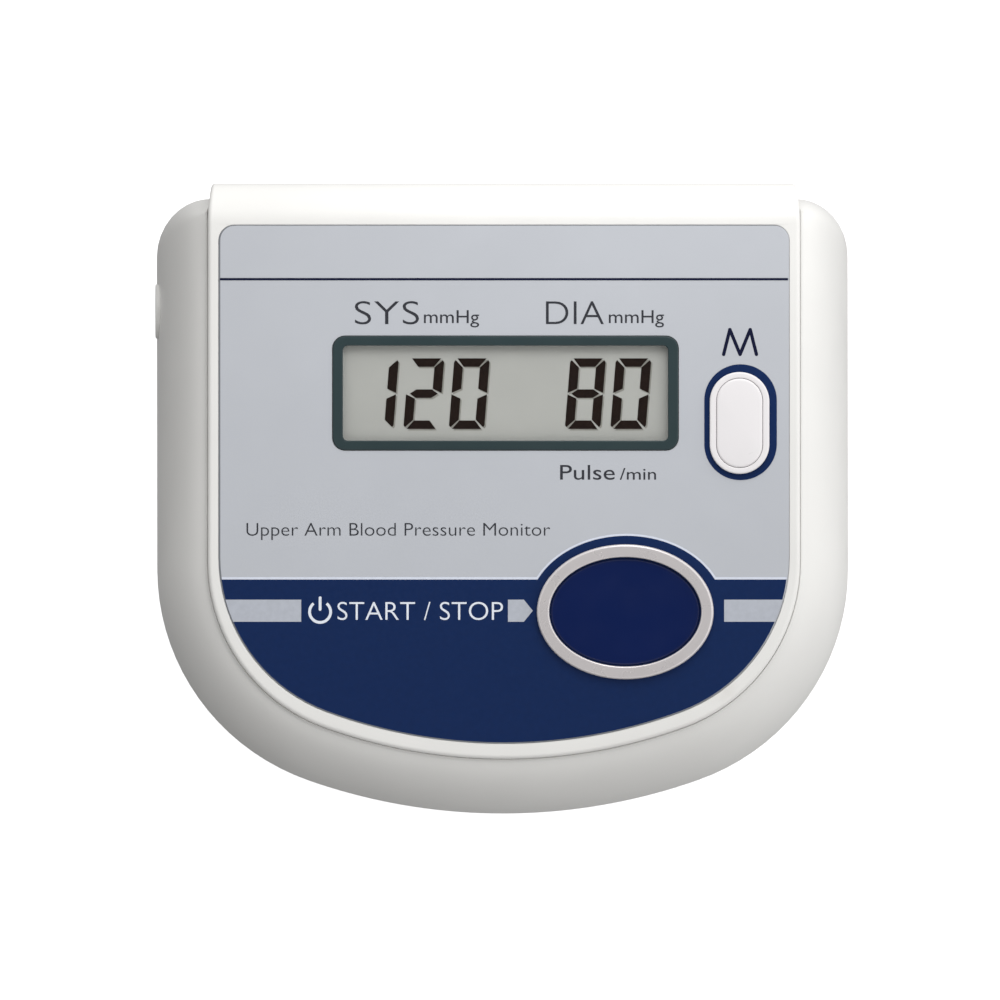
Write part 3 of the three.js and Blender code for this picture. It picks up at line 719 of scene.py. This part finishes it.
LOOKS = {
    "shell_white": shell_white(),
    "button_white": button_white(),
    "button_navy": button_navy(),
    "satin_silver": satin_silver(),
    "overlay_grey": overlay_grey(),
    "frame_grey": frame_grey(),
    "clear_window": clear_window(),
    "display_grey": display_grey(),
    "black_rubber": rubber("black_rubber", (0.03, 0.03, 0.03)),
    "grey_rubber": rubber("grey_rubber", (0.17, 0.18, 0.18)),
    "silicone": silicone(),
    "dark_plastic": moulded("dark_plastic", (0.022, 0.022, 0.024), 0.45, drift=0.08, worn=(0.06, 0.06, 0.06)),
    "white_plastic": moulded("white_plastic", (0.8, 0.8, 0.77), 0.48),
    "board_green": board_green(),
    "steel": metal("steel", (0.5, 0.51, 0.52), 0.34, stretch=(0.15, 1, 1)),
    "can_metal": metal("can_metal", (0.46, 0.47, 0.48), 0.3, stretch=(0.1, 1, 1)),
    "spring_steel": metal("spring_steel", (0.56, 0.57, 0.58), 0.28),
    "brass": metal("brass", (0.48, 0.3, 0.08), 0.32),
    "cell_jacket": cell_jacket(),
}
INK_BLUE = ink("ink_blue", (0.004, 0.019, 0.084))
INK_NAVY = ink("ink_navy", (0.004, 0.006, 0.03))
INK_LIGHT = ink("ink_light", linear(214, 219, 232))
INK_GREY = ink("ink_grey", linear(180, 184, 193))
INK_WHITE = ink("ink_white", linear(226, 231, 240))
INK_CHARCOAL = ink("ink_charcoal", (0.035, 0.037, 0.045))
# A grey for the shade painted along the label's edge.
EDGE_SHADE_INK = ink("edge_shade_ink", linear(120, 123, 128))
SEGMENT_DARK = segment_ink("segment_dark", (0.014, 0.007, 0.005))
# A paler grey for the painted shadow of the lit segments on the reflector.
SEGMENT_PAINTED_SHADOW = segment_ink("segment_painted_shadow", linear(150, 149, 142))


def dress_frame():
    """Gives each CAD node that stays in view the look of its own material slot."""
    for entry in frame["record"]["subparts"]:
        for place in frame["nodes"][entry["node"]].material_slots:
            place.material = LOOKS[entry["material_slot"]]


# ---------------------------------------------------------------- the case

LIP = 0.05  # the surround's lip stands this far off the cover
LIP_DEPTH = 1.0  # and starts this far below the face
HOLLOW = 1.5  # radius of the hollow that runs round the cover
HOLLOW_TURN = math.radians(56)
RIM_BACK = 7.3  # how far round the roll the surround reaches
WING_START = -15.0  # behind this line the surround sinks away from the cover
WING_DROP = 2.4
SEAM_GAP = 0.3  # the two case halves stand this far apart
HOLE_GAP = 0.15  # the surround's holes are this much wider than what passes through them


def rim_ring(by, depth):
    """A ring of the surround at a distance outside the cover's edge, sinking towards the back."""
    o = {**grown(COVER, by), "back": RIM_BACK, "back_corner": 3}
    return [on_skin(p.x, p.y, depth + WING_DROP * smooth(p.y, WING_START, RIM_BACK)) for p in outline(o)]


def level_ring(o, z):
    return [Vector((p.x, p.y, z)) for p in outline(o)]


def hollow_of_case(by):
    o = grown(CASE, -by)
    o["back"] = CASE["back"] - BACK_WALL - (by - WALL)
    return o


def flare(top, bottom, steps=26, end=math.radians(75)):
    """Rings that swell from an upper edge out and down to the widest line."""
    rings = []
    for angle in spread(end, 0, steps):
        out = (math.cos(angle) - math.cos(end)) / (1 - math.cos(end))
        up = math.sin(angle) / math.sin(end)
        rings.append([
            Vector((*a.xy.lerp(b.xy, out), b.z + (a.z - b.z) * up))
            for a, b in zip(top, bottom)
        ])
    return rings


def loft(name, rings, look, replaces):
    """A closed band through rings that come back to the first one, on the case."""
    made = Body(lambda x, y, z: None)
    loops = [[made.mesh.verts.new(p * MM) for p in ring] for ring in rings]
    for first, second in zip(loops, loops[1:] + loops[:1]):
        made.bridge(first, second)
    return made.close(name, LOOKS[look], "case", replaces, weighted=False)


def add_surround():
    """The surround: a hollow round the cover, a skin that swells outwards, and the inside."""
    lip_out = LIP + 0.15
    fall = [
        rim_ring(lip_out + HOLLOW * (1 - math.cos(a)), LIP_DEPTH + HOLLOW * math.sin(a))
        for a in spread(0, HOLLOW_TURN, 6)
    ]
    round_under = 0.35
    foot = level_ring(CASE, SEAM_Z + round_under)
    under = level_ring(grown(CASE, -round_under), SEAM_Z)
    skin = flare(fall[-1], foot)
    inner = [
        level_ring(hollow_of_case(WALL), SEAM_Z),
        rim_ring(-3, COVER_SKIRT + 2.5),
        rim_ring(-3, COVER_SKIRT + 0.4),
        rim_ring(LIP, COVER_SKIRT + 0.4),
        rim_ring(LIP, LIP_DEPTH + 0.15),
    ]
    rings = [*fall, *skin[1:], under, *inner]
    piece = loft("surround_shell", rings, "shell_white", ["side_surround"])
    cut_away(piece, [
        cutter_rod(SOCKET["radius"] + HOLE_GAP, 20, (-1, 0, 0), (-58, SOCKET["y"], SOCKET["z"])),
        cutter_rod(JACK["radius"] + HOLE_GAP, 20, (0, 1, 0), (JACK["x"], 50, JACK["z"])),
    ])


def add_cover():
    """The top cover, with a recess for the label and three openings in the recess."""
    shape = plan(COVER, rolled=True)
    recess = plan(LABEL)
    openings = [
        rounded(70.4, 23.8, 2.9, DISPLAY),
        ellipse(16.7, 12.5, START),
        stadium(11.6, 20.1, MEMORY),
    ]
    made = Body(on_cover)
    rings = edge(shape, 0, COVER_SKIRT, 0.85, 0.3)
    rings += [(shape(-PLATE), COVER_SKIRT), (shape(-PLATE), PLATE)]
    top_rim, under_rim = made.walls(rings)
    sunk = 0.45  # depth of the recess that the label lies in
    recess_top, recess_floor = made.walls([
        (recess(0.2), 0), (recess(0.15), 0.02), (recess(0.06), 0.1), (recess(0.05), sunk),
    ])
    made.fill(top_rim, [recess_top], cross_rows=True)
    walls = [made.walls([(hole(), sunk), (hole(), PLATE)]) for hole in openings]
    made.fill(recess_floor, [first for first, _ in walls])
    made.fill(under_rim, [last for _, last in walls], cross_rows=True)
    made.close("cover_shell", LOOKS["shell_white"], "case", ["top_cover"])


CORNERS = ("back_left", "back_right", "front_left", "front_right")


def plan_centre(node):
    low, high = mm_box(node)
    return (low.x + high.x) / 2, (low.y + high.y) / 2


def add_tub():
    """The lower case: rounded underside, hollow inside, with the door's slot, feet and wells."""
    made = Body(on_table)
    brim = SEAM_Z - SEAM_GAP
    shoulder = brim - 0.3
    turn_in = 5.0  # how far the side draws in on its way to the underside
    rings = [(outline(grown(CASE, -0.7)), brim), (outline(grown(CASE, -0.4)), shoulder)]
    for a in spread(0, math.pi / 2, 14)[1:]:
        draw = 0.35 + turn_in * (1 - math.cos(a)) ** 1.15
        rings.append((outline(grown(CASE, -draw)), shoulder - (shoulder - tub_low.z) * math.sin(a)))
    floor = tub_low.z + WALL
    rim, sole = made.walls(rings)
    lip, well = made.walls([
        (outline(hollow_of_case(WALL)), brim),
        (outline(hollow_of_case(WALL + 0.5)), floor + 3),
        (outline(hollow_of_case(WALL + 4)), floor),
    ])
    made.bridge(rim, lip)
    made.fill(sole)
    made.fill(well)
    tub = made.close("case_tub", LOOKS["shell_white"], "case", ["lower_case"])
    slot_length = 72  # it runs out through the back of the case
    slot_width = 2 * (DOOR_HALF + SEAM_GAP)
    slot = rounded(slot_width, slot_length, 1.2, (0, door_low.y - SEAM_GAP + slot_length / 2))
    cutters = [cutter_prism(slot(), 0, floor + 3)]
    for corner in CORNERS:
        foot_hollow = circle(5.75, plan_centre(f"foot_{corner}"), 48)
        cutters.append(cutter_prism(foot_hollow(), 0, 2.9))
        screw_well = circle(3.2, plan_centre(f"case_screw_{corner}"), 40)
        cutters.append(cutter_prism(screw_well(), 0, floor + 3))
    cut_away(tub, cutters)
    soften(tub, 0.25, 2)


def add_bay():
    """The battery bay: an open-bottomed box with thin walls and rounded corners."""
    ceiling = BAY["ceiling"]
    wall = BAY["wall"]
    cut_off = 0.6  # size of the slant along the ceiling's edges
    floor = tub_low.z + WALL - 0.05
    centre = (0, (BAY["front"] + BAY["back"]) / 2)
    shape = rounded(2 * BAY["half"], BAY["back"] - BAY["front"], 1.0, centre)
    made = Body(on_table)
    outer_top, outer_low = made.walls([
        (shape(wall - cut_off), ceiling + wall),
        (shape(wall), ceiling + wall - cut_off),
        (shape(wall), floor),
    ])
    inner_low, inner_top = made.walls([
        (shape(0), floor), (shape(0), ceiling - cut_off), (shape(-cut_off), ceiling),
    ])
    made.bridge(outer_low, inner_low)
    made.fill(outer_top)
    made.fill(inner_top)
    made.close("battery_bay", LOOKS["shell_white"], "case")


def add_door():
    """The sliding battery cover, with its side tongues."""
    centre = (0, (door_low.y + door_high.y) / 2)
    length = door_high.y - door_low.y
    shape = rounded(2 * DOOR_HALF, length, 0.9, centre)
    slab("battery_door", shape, [], -door_high.z, -door_low.z, 0.35, "shell_white", "battery_cover",
         below_table, ["battery_cover"])
    tongue = rounded(2 * (DOOR_HALF + TONGUE), 48, 0.5, (0, door_low.y + 32))
    slab("battery_door_tongues", tongue, [], -(door_low.z + 1.4), -(door_low.z + 0.8), 0.15,
         "shell_white", "battery_cover", below_table)


def add_feet():
    """Rubber feet with a rounded edge and a shallow groove round the sole."""
    for corner in CORNERS:
        low, high = mm_box(f"foot_{corner}")
        radius = (high.x - low.x) / 2
        x, y = plan_centre(f"foot_{corner}")
        groove = [(radius - 1.6, 0), (radius - 1.9, 0.25), (radius - 2.6, 0.25), (radius - 2.9, 0)]
        profile = [(0, high.z - low.z), (radius, high.z - low.z), *fillet(radius - 0.7, 0.7, 0.7, 0, -90),
                   *groove, (0, 0)]
        turned(f"rubber_foot_{corner}", profile, (0, 0, 1), (x, y, low.z), "grey_rubber", [f"foot_{corner}"])


def add_screws():
    """Pan-head screws at the bottom of their wells, with a cross slot each."""
    for corner in CORNERS:
        low, high = mm_box(f"case_screw_{corner}")
        x, y = plan_centre(f"case_screw_{corner}")
        radius = (high.x - low.x) / 2
        shank = 1.2
        under_head = 1.8
        profile = [(0, 0), (radius * 0.55, 0.05), *fillet(radius - 0.7, 0.9, 0.7, -75, 0),
                   (radius, under_head), (shank, under_head), (shank, high.z - low.z - 1),
                   (0, high.z - low.z)]
        screw = turned(f"pan_head_screw_{corner}", profile, (0, 0, 1), (x, y, low.z), "steel",
                       [f"case_screw_{corner}"], sides=48)
        arms = [rounded(3.0, 0.7, 0.2, (x, y), 3)(), rounded(0.7, 3.0, 0.2, (x, y), 3)()]
        cut_away(screw, [cutter_prism(arm, low.z - 1, low.z + 1.1) for arm in arms])


# ---------------------------------------------------------------- the face

def add_overlay():
    openings = [
        rounded(69.75, 23.15, 2.6, DISPLAY),
        ellipse(16.9, 12.7, START),
        stadium(11.3, 19.8, MEMORY),
    ]
    slab("overlay_sheet", plan(LABEL), openings, 0, 0.3, 0.06, "overlay_grey", replaces=["face_overlay"])


LAYER = 0.025  # each coat of ink stands this far above the one below


def printed(name, polygons, wanted, layer, material, depth=0.0):
    """A film of ink over the parts of the polygons for which wanted(point) is true."""
    flat = []
    edges = []
    for polygon in polygons:
        start = len(flat)
        flat += [Vector(p[:2]) for p in polygon]
        edges += [(start + i, start + (i + 1) % len(polygon)) for i in range(len(polygon))]
    points, _, faces, *_ = geometry.delaunay_2d_cdt(flat, edges, [], 1, 1e-6)
    made = bmesh.new()
    height = depth - LAYER * layer
    verts = [made.verts.new(on_skin(p.x, p.y, height) * MM) for p in points]
    for face in faces:
        centre = sum((points[i] for i in face), Vector((0, 0))) / len(face)
        if wanted(centre):
            made.faces.new([verts[i] for i in face])
    bmesh.ops.delete(made, geom=[v for v in verts if not v.link_faces], context="VERTS")
    for face in made.faces:
        if face.normal.dot(NORMAL) < 0:
            face.normal_flip()
    return shown(name, mesh_from(name, made), material, "case", weighted=False)


BAND_TOP = -71.7  # upper edge of the blue band
BAR_TOP = -75.75  # the grey bars lie between these lines
BAR_BOTTOM = -80.2
LEFT_BAR_END = -40.8
RIGHT_BAR_START = 44.3
RULE = (-11.5, -11.04)  # lower and upper edge of the thin rule across the label
START_BLUE = (19.7, 15.3)  # half width and half height of the blue round the start ring
FAR = 80  # past every edge of the label


def box_points(x0, x1, s0, s1):
    return [Vector((x0, s0)), Vector((x1, s0)), Vector((x1, s1)), Vector((x0, s1))]


def add_prints():
    """The band and its pale keyline, the bars, the arrow, the rule, and painted shade along the edge of the label.
    """
    label = plan(LABEL)(-0.25)

    def band(top, grow):
        oval = ellipse(START_BLUE[0] + grow, START_BLUE[1] + grow, (START.x + 0.2, START.y))()
        field = box_points(-FAR, FAR, -2 * FAR, top)
        return [label, oval, field], lambda p: inside(p, label) and (inside(p, oval) or inside(p, field))

    printed("band_keyline", *band(BAND_TOP + 0.5, 0.42), 1, INK_LIGHT)
    printed("blue_band", *band(BAND_TOP, 0), 2, INK_BLUE)
    for name, x0, x1 in (("left_bar", -FAR, LEFT_BAR_END), ("right_bar", RIGHT_BAR_START, FAR)):
        bar = box_points(x0, x1, BAR_BOTTOM, BAR_TOP)
        printed(name, [label, bar], lambda p, b=bar: inside(p, label) and inside(p, b), 3, INK_GREY)
    middle = (BAR_TOP + BAR_BOTTOM) / 2
    arrow = [
        Vector((0.8, BAR_BOTTOM)), Vector((4.0, BAR_BOTTOM)), Vector((5.8, middle)),
        Vector((4.0, BAR_TOP)), Vector((0.8, BAR_TOP)),
    ]
    printed("start_arrow", [arrow], lambda p: inside(p, arrow), 3, INK_GREY)
    rule = box_points(-FAR, FAR, *RULE)
    printed("top_rule", [label, rule], lambda p: inside(p, label) and inside(p, rule), 2, INK_NAVY)
    outer = stadium(14.6, 23.3, (MEMORY.x + 0.2, MEMORY.y + 0.15))()
    printed("memory_blue", [outer], lambda p: True, 2, INK_BLUE)
    # A dark line painted along the label's edge as shade. The inner outline is shifted right and up, so the line
    # is widest on the left and bottom, away from the light, and almost gone on the right and top.
    edge_outer = plan(LABEL)(-0.02)
    edge_inner = [p + Vector((0.14, 0.08)) for p in plan(LABEL)(-0.17)]
    printed("label_edge_shade", [edge_outer, edge_inner], lambda p: not inside(p, edge_inner), 1, EDGE_SHADE_INK)


CAPITAL = 0.682  # height of a capital of the built-in letters


def lettering(name, words, left, right, bottom, height, material, layer, weight):
    """Built-in letters stretched to a given width, laid on the face."""
    curve = bpy.data.curves.new(name, "FONT")
    curve.body = words
    curve.offset = weight
    curve.resolution_u = 6
    holder = in_scene(name, curve)
    graph = bpy.context.evaluated_depsgraph_get()
    data = bpy.data.meshes.new_from_object(holder.evaluated_get(graph))
    bpy.data.objects.remove(holder)
    low_x = min(v.co.x for v in data.vertices)
    high_x = max(v.co.x for v in data.vertices)
    stretch = (right - left) / (high_x - low_x)
    rise = height / CAPITAL
    for vert in data.vertices:
        x = left + (vert.co.x - low_x) * stretch
        s = bottom + vert.co.y * rise
        vert.co = on_skin(x, s, -LAYER * layer) * MM
    return shown(name, data, material, "case", weighted=False)


TITLE_FOOT = -20.39  # foot lines of the words, up the slope
UNIT_FOOT = -20.1
PULSE_FOOT = -51.6
KIND_FOOT = -62.9
START_FOOT = -79.85


def add_words():
    """Each word with its left and right ends, foot line, capital height and change of weight."""
    for name, words, ends, foot, height, weight in (
        ("word_sys", "SYS", (-30.0, -17.1), TITLE_FOOT, 4.73, -0.012),
        ("unit_left", "mmHg", (-16.1, -5.0), UNIT_FOOT, 2.6, 0),
        ("word_dia", "DIA", (8.45, 20.1), TITLE_FOOT, 4.73, -0.012),
        ("unit_right", "mmHg", (21.1, 32.2), UNIT_FOOT, 2.6, 0),
        ("word_pulse", "Pulse", (11.3, 22.3), PULSE_FOOT, 2.94, 0),
        ("unit_minute", "/min", (23.3, 30.6), PULSE_FOOT, 2.3, 0),
        ("kind_line", "Upper Arm Blood Pressure Monitor", (-51.8, 9.3), KIND_FOOT, 2.6, -0.01),
    ):
        lettering(name, words, *ends, foot, height, INK_CHARCOAL, 1, weight)
    lettering("word_start_stop", "START / STOP", -33.5, -0.2, START_FOOT, 3.65, INK_WHITE, 3, -0.01)


def pen_stroke(points, width):
    """Outline of a line drawn with a round pen, in pieces: one stadium for each straight stretch."""
    pieces = []
    for a, b in zip(points, points[1:]):
        lean = math.atan2(b.y - a.y, b.x - a.x)
        pieces.append(arc(b.x, b.y, width / 2, lean - math.pi / 2, lean + math.pi / 2, 8)
                      + arc(a.x, a.y, width / 2, lean + math.pi / 2, lean + 1.5 * math.pi, 8))
    return pieces


def add_memory_letter():
    """A splayed M whose middle reaches the foot line."""
    foot = -26.4
    head = -21.4
    strokes = pen_stroke([
        Vector((44.2, foot)), Vector((45.45, head)), Vector((47.5, foot)),
        Vector((49.55, head)), Vector((50.8, foot)),
    ], 0.68)
    printed("word_memory", strokes, lambda p: any(inside(p, piece) for piece in strokes), 1, INK_NAVY)


def add_power_icon():
    """An open ring with an upright bar in its gap."""
    centre = Vector((-37.0, -78.2))
    radius = 2.4
    stroke = 0.56
    opening = math.radians(38)
    outer = arc(*centre, radius, math.pi / 2 + opening, 2.5 * math.pi - opening, 40)
    inner = arc(*centre, radius - stroke, 2.5 * math.pi - opening, math.pi / 2 + opening, 40)
    ring = outer + inner
    printed("power_ring", [ring], lambda p: inside(p, ring), 3, INK_WHITE)
    bar = rounded(stroke, 2.9, stroke / 2 - 0.02, centre + Vector((0, 1.65)), 4)()
    printed("power_bar", [bar], lambda p: True, 3, INK_WHITE)


# ---------------------------------------------------------------- display and buttons

GLASS_DEPTH = 1.6  # depth of the display cell's front below the face
WINDOW = (65.4, 19.1)
WINDOW_RADIUS = 0.95


def add_display():
    hole = rounded(*WINDOW, WINDOW_RADIUS, DISPLAY, 4)
    bezel = rounded(69.55, 22.95, 2.5, DISPLAY)
    slab("display_bezel", bezel, [hole], -0.25, 1.5, 0.25, "frame_grey", replaces=["lcd_frame"])
    pane = rounded(WINDOW[0] - 0.2, WINDOW[1] - 0.2, WINDOW_RADIUS - 0.1, DISPLAY, 4)
    slab("display_pane", pane, [], 0.75, 1.35, 0.1, "clear_window", replaces=["lcd_window"])
    cell = rounded(68.4, 23, 0.3, DISPLAY, 3)
    slab("display_cell", cell, [], GLASS_DEPTH, 4.6, 0.1, "display_grey", replaces=["lcd_glass"])


DIGIT = {
    "width": 7.14, "height": 14.2, "bar": 1.7, "upright": 1.86, "gap": 0.14, "slant": 0.08,
    "pitch": 9.15,
}
LIT = {"0": "abcdef", "1": "bc", "2": "abged", "8": "abcdefg"}
PLACES = ("hundreds", "tens", "units")
SHADOW = Vector((0.28, -0.3))  # how far a lit bar's shadow falls to the right and down


def segment(letter):
    """Points of one of the seven bars of an upright digit, from its lower left corner."""
    w, h, b, g, u = (DIGIT[key] for key in ("width", "height", "bar", "gap", "upright"))
    mid = h / 2
    if letter in "ad":
        flip = letter == "d"
        points = [(0.5 + g, h), (w - 0.5 - g, h), (w - u - g, h - b), (u + g, h - b)]
        return [(x, h - y) if flip else (x, y) for x, y in points]
    if letter == "g":
        half = b / 2
        return [(half - 0.1, mid), (u + g, mid + half), (w - u - g, mid + half), (w - half + 0.1, mid),
                (w - u - g, mid - half), (u + g, mid - half)]
    points = [(0, h - 0.75), (0.28, h - 0.35), (u, h - b - g), (u, mid + b / 2 + g), (0, mid + g)]
    if letter in "ce":
        points = [(x, h - y) for x, y in points]
    if letter in "bc":
        points = [(w - x, y) for x, y in points]
    return points


def add_digit(name, figure, left, bottom):
    """The lit bars of one figure, with a soft shadow of them painted on the reflector behind them."""
    for kind, material, shift, lift in (
        ("digit_shadow", SEGMENT_PAINTED_SHADOW, SHADOW, 0.02),
        ("digit", SEGMENT_DARK, Vector((0, 0)), 0.05),
    ):
        bars = [
            [Vector((left + x + y * DIGIT["slant"], bottom + y)) + shift for x, y in segment(letter)]
            for letter in LIT[figure]
        ]
        printed(f"{kind}_{name}", bars, lambda p, b=bars: any(inside(p, bar) for bar in b), 0, material,
                depth=GLASS_DEPTH - lift)


def add_digits():
    bottom = DISPLAY.y - DIGIT["height"] / 2 - 0.1
    for reading, figures, left in (("upper", "120", -29.4), ("lower", "80", 12.25)):
        for i, figure in enumerate(figures):
            place = PLACES[i - len(figures)]
            add_digit(f"{reading}_{place}", figure, left + i * DIGIT["pitch"], bottom)


def ring_slab(name, outer, inner, top, bottom, roundings, look, replaces):
    """A ring with a rounded outer shoulder and its own rounding round the hole."""
    made = Body(on_skin)
    outside = made.walls(edge(outer, -top, bottom, roundings[0], 0.1))
    within = made.walls(edge(inner, -top, bottom, roundings[1], 0.1, outward=-1))
    made.fill(outside[0], [within[0]])
    made.fill(outside[1], [within[1]])
    return made.close(name, LOOKS[look], "case", replaces)


def add_buttons():
    """Both keys, each in its ring; a lip under the face keeps each key in."""
    ring_slab("start_bezel", ellipse(17.8, 13.6, START), ellipse(15.3, 11, START), 1.3, -0.1,
              (0.55, 0.35), "satin_silver", ["start_ring"])
    crowned("start_key", ellipse(15.05, 10.75, START), START, 0.62, 0.15, 0.45, 2.5,
            "button_navy", "start_button", (1.0, 3.3))
    ring_slab("memory_bezel", stadium(12, 20.5, MEMORY), stadium(9.4, 18.1, MEMORY), 1.1, -0.1,
              (0.35, 0.2), "button_white", ["memory_ring"])
    crowned("memory_key", stadium(9.26, 17.96, MEMORY), MEMORY, 1.5, 0.25, 0.45, 2.5,
            "button_white", "memory_button", (0.6, 3.3))


# ---------------------------------------------------------------- sockets and cells

def add_air_socket():
    """A bush with a flange inside the case and a nipple for the tube, given as distances to the left."""
    centre = (0, SOCKET["y"], SOCKET["z"])
    mouth = -socket_low.x
    radius = SOCKET["radius"]
    bore = SOCKET["bore"]
    nipple = 1.1
    nipple_end = 56
    flange = 6.3
    flange_start = 61.5
    flange_end = 65.3
    narrow = bore - 0.3
    bore_floor = 62.6
    lip = 0.4
    profile = [
        (0, nipple_end), (nipple, nipple_end), (nipple, flange_start),
        (flange, flange_start), (flange, flange_end), (radius, flange_end),
        *fillet(radius - lip, mouth - lip, lip, 0, 90), *fillet(bore + lip, mouth - lip, lip, 90, 180),
        (bore, 66), (narrow, 65.7), (narrow, bore_floor), (0, bore_floor),
    ]
    turned("air_socket_bush", profile, (-1, 0, 0), centre, "shell_white", ["air_socket"])


def add_jack():
    """A sleeve through the back wall, in front of a square housing that the bore runs into."""
    x = JACK["x"]
    z = JACK["z"]
    back = jack_high.y
    radius = JACK["radius"]
    bore = JACK["bore"]
    sleeve_start = 55.2
    lip = 0.3
    profile = [
        (bore, sleeve_start), (radius, sleeve_start), *fillet(radius - lip, back - lip, lip, 0, 90),
        *fillet(bore + lip, back - lip, lip, 90, 180), (bore, sleeve_start),
    ]
    turned("power_jack_sleeve", profile, (0, 1, 0), (x, 0, z), "dark_plastic", ["dc_jack"])
    front = 45
    rear = back - 4.7
    body = rounded(9, rear - front, 0.4, (x, (front + rear) / 2))
    housing = slab("power_jack_body", body, [], -23.2, -13.9, 0.3, "dark_plastic", place=below_table)
    cut_away(housing, [cutter_rod(bore, 12, (0, 1, 0), (x, 49, z))])


NUB = 1.3  # how far a cell's positive end stands out


def add_cells():
    """AA cells, every other one turned round."""
    for number in range(1, 5):
        node = f"battery_cell_{number}"
        low, high = mm_box(node)
        centre_x = (low.x + high.x) / 2
        z = (low.z + high.z) / 2
        backwards = number % 2 == 0
        start = high.y if backwards else low.y
        radius = (high.x - low.x) / 2
        length = high.y - low.y - NUB
        profile = [
            (0, 0.25), (radius - 1.6, 0.25), (radius - 1.2, 0), *fillet(radius - 0.5, 0.5, 0.5, -90, 0),
            *fillet(radius - 0.6, length - 0.6, 0.6, 0, 90), (3.1, length - 0.15),
            (2.6, length), *fillet(2.3, length + NUB - 0.3, 0.3, 0, 90), (0, length + NUB),
        ]
        axis = (0, -1 if backwards else 1, 0)
        turned(f"cell_{number}", profile, axis, (centre_x, start, z), "cell_jacket", [node])


# ---------------------------------------------------------------- stage, light and camera

def see_through_from_below(look):
    """Lets the underside of the object be seen through the back of the floor."""
    side = look.add("ShaderNodeNewGeometry")
    clear = look.add("ShaderNodeBsdfTransparent")
    either = look.add("ShaderNodeMixShader")
    output = look.tree.nodes["Material Output"]
    look.link(side.outputs["Backfacing"], either.inputs[0])
    look.link(look.shader.outputs[0], either.inputs[1])
    look.link(clear.outputs[0], either.inputs[2])
    look.link(either.outputs[0], output.inputs["Surface"])


def add_floor():
    made = bmesh.new()
    bmesh.ops.create_grid(made, x_segments=8, y_segments=8, size=3)
    floor = in_scene("floor", mesh_from("floor", made))
    look = Look("floor_white", 0.9, Emission_Color=(1, 1, 1, 1), Emission_Strength=0.7)
    look.set_colour(look.mottle((0.86, 0.86, 0.86), 0.01, 200))
    see_through_from_below(look)
    floor.data.materials.append(look.material)
    floor.visible_diffuse = False
    floor.visible_glossy = False


def add_world(mean, swing, towards):
    """A white studio: brightest in one direction, fading evenly to the other.

    A soft dark patch square to the face keeps the gloss off it, and the camera itself
    sees a white backdrop.
    """
    world = bpy.data.worlds.new("studio")
    world.use_nodes = True
    nodes = world.node_tree.nodes
    link = world.node_tree.links.new
    background = nodes["Background"]
    background.inputs["Color"].default_value = (1, 1, 1, 1)
    place = nodes.new("ShaderNodeTexCoord")

    def leaning(direction):
        """1 in a direction, 0 square to it and -1 opposite to it."""
        node = nodes.new("ShaderNodeVectorMath")
        node.operation = "DOT_PRODUCT"
        node.inputs[1].default_value = direction
        link(place.outputs["Generated"], node.inputs[0])
        return node.outputs["Value"]

    def sum_up(operation, *values):
        node = nodes.new("ShaderNodeMath")
        node.operation = operation
        for value, socket in zip(values, node.inputs):
            if isinstance(value, bpy.types.NodeSocket):
                link(value, socket)
            else:
                socket.default_value = value
        return node.outputs["Value"]

    level = sum_up("MULTIPLY_ADD", leaning(Vector(towards).normalized()), swing, mean)
    light = sum_up("MAXIMUM", level, 0)
    shade = nodes.new("ShaderNodeMapRange")
    shade.inputs["From Min"].default_value = math.cos(math.radians(32))
    shade.inputs["From Max"].default_value = math.cos(math.radians(14))
    shade.inputs["To Min"].default_value = 1
    shade.inputs["To Max"].default_value = 0.15
    link(leaning(NORMAL), shade.inputs["Value"])
    shaded = sum_up("MULTIPLY", light, shade.outputs["Result"])
    seen = nodes.new("ShaderNodeLightPath")
    backdrop = sum_up("MAXIMUM", shaded, seen.outputs["Is Camera Ray"])
    link(backdrop, background.inputs["Strength"])
    bpy.context.scene.world = world


LIGHT_FROM = (0.56, 0.42, 0.66)  # the brightest part of the studio
KEY_FROM = (0.2, 0.55, 0.8)  # where the small lamp hangs


def add_lamp(name, direction, distance, size, power):
    """A round lamp aimed at the object, with its distance and size in metres."""
    data = bpy.data.lights.new(name, "AREA")
    data.shape = "DISK"
    data.size = size
    data.energy = power
    lamp = in_scene(name, data)
    aim = Vector(direction).normalized()
    lamp.location = ORIGIN * MM * 0.5 + aim * distance
    lamp.rotation_euler = aim.to_track_quat("Z", "Y").to_euler()


VIEW_WIDTH = 201.2
VIEW_CENTRE = (-0.8, -55.7)  # across, and along the slope
VIEW_YAW = math.radians(0.5)
VIEW_DISTANCE = 600


def add_camera():
    """Looks square on to the sloping face from far off, half a degree from the left."""
    data = bpy.data.cameras.new("camera")
    data.type = "ORTHO"
    data.ortho_scale = VIEW_WIDTH * MM
    data.clip_start = 0.01
    target = on_skin(*VIEW_CENTRE, 0)
    back = (NORMAL * math.cos(VIEW_YAW) + Vector((-math.sin(VIEW_YAW), 0, 0))).normalized()
    right = UPHILL.cross(back).normalized()
    turn = Matrix((right, UPHILL, back)).transposed().to_4x4()
    camera = in_scene("camera", data)
    camera.matrix_world = Matrix.Translation((target + back * VIEW_DISTANCE) * MM) @ turn
    bpy.context.scene.camera = camera


dress_frame()
add_surround()
add_cover()
add_tub()
add_bay()
add_door()
add_feet()
add_screws()
add_overlay()
add_prints()
add_words()
add_memory_letter()
add_power_icon()
add_display()
add_digits()
add_buttons()
add_air_socket()
add_jack()
add_cells()
add_floor()
add_world(mean=0.74, swing=0.7, towards=LIGHT_FROM)
add_lamp("key", KEY_FROM, distance=0.2, size=0.1, power=0.11)
add_camera()
bpy.context.scene.view_settings.view_transform = "Standard"

bpy.context.view_layer.update()
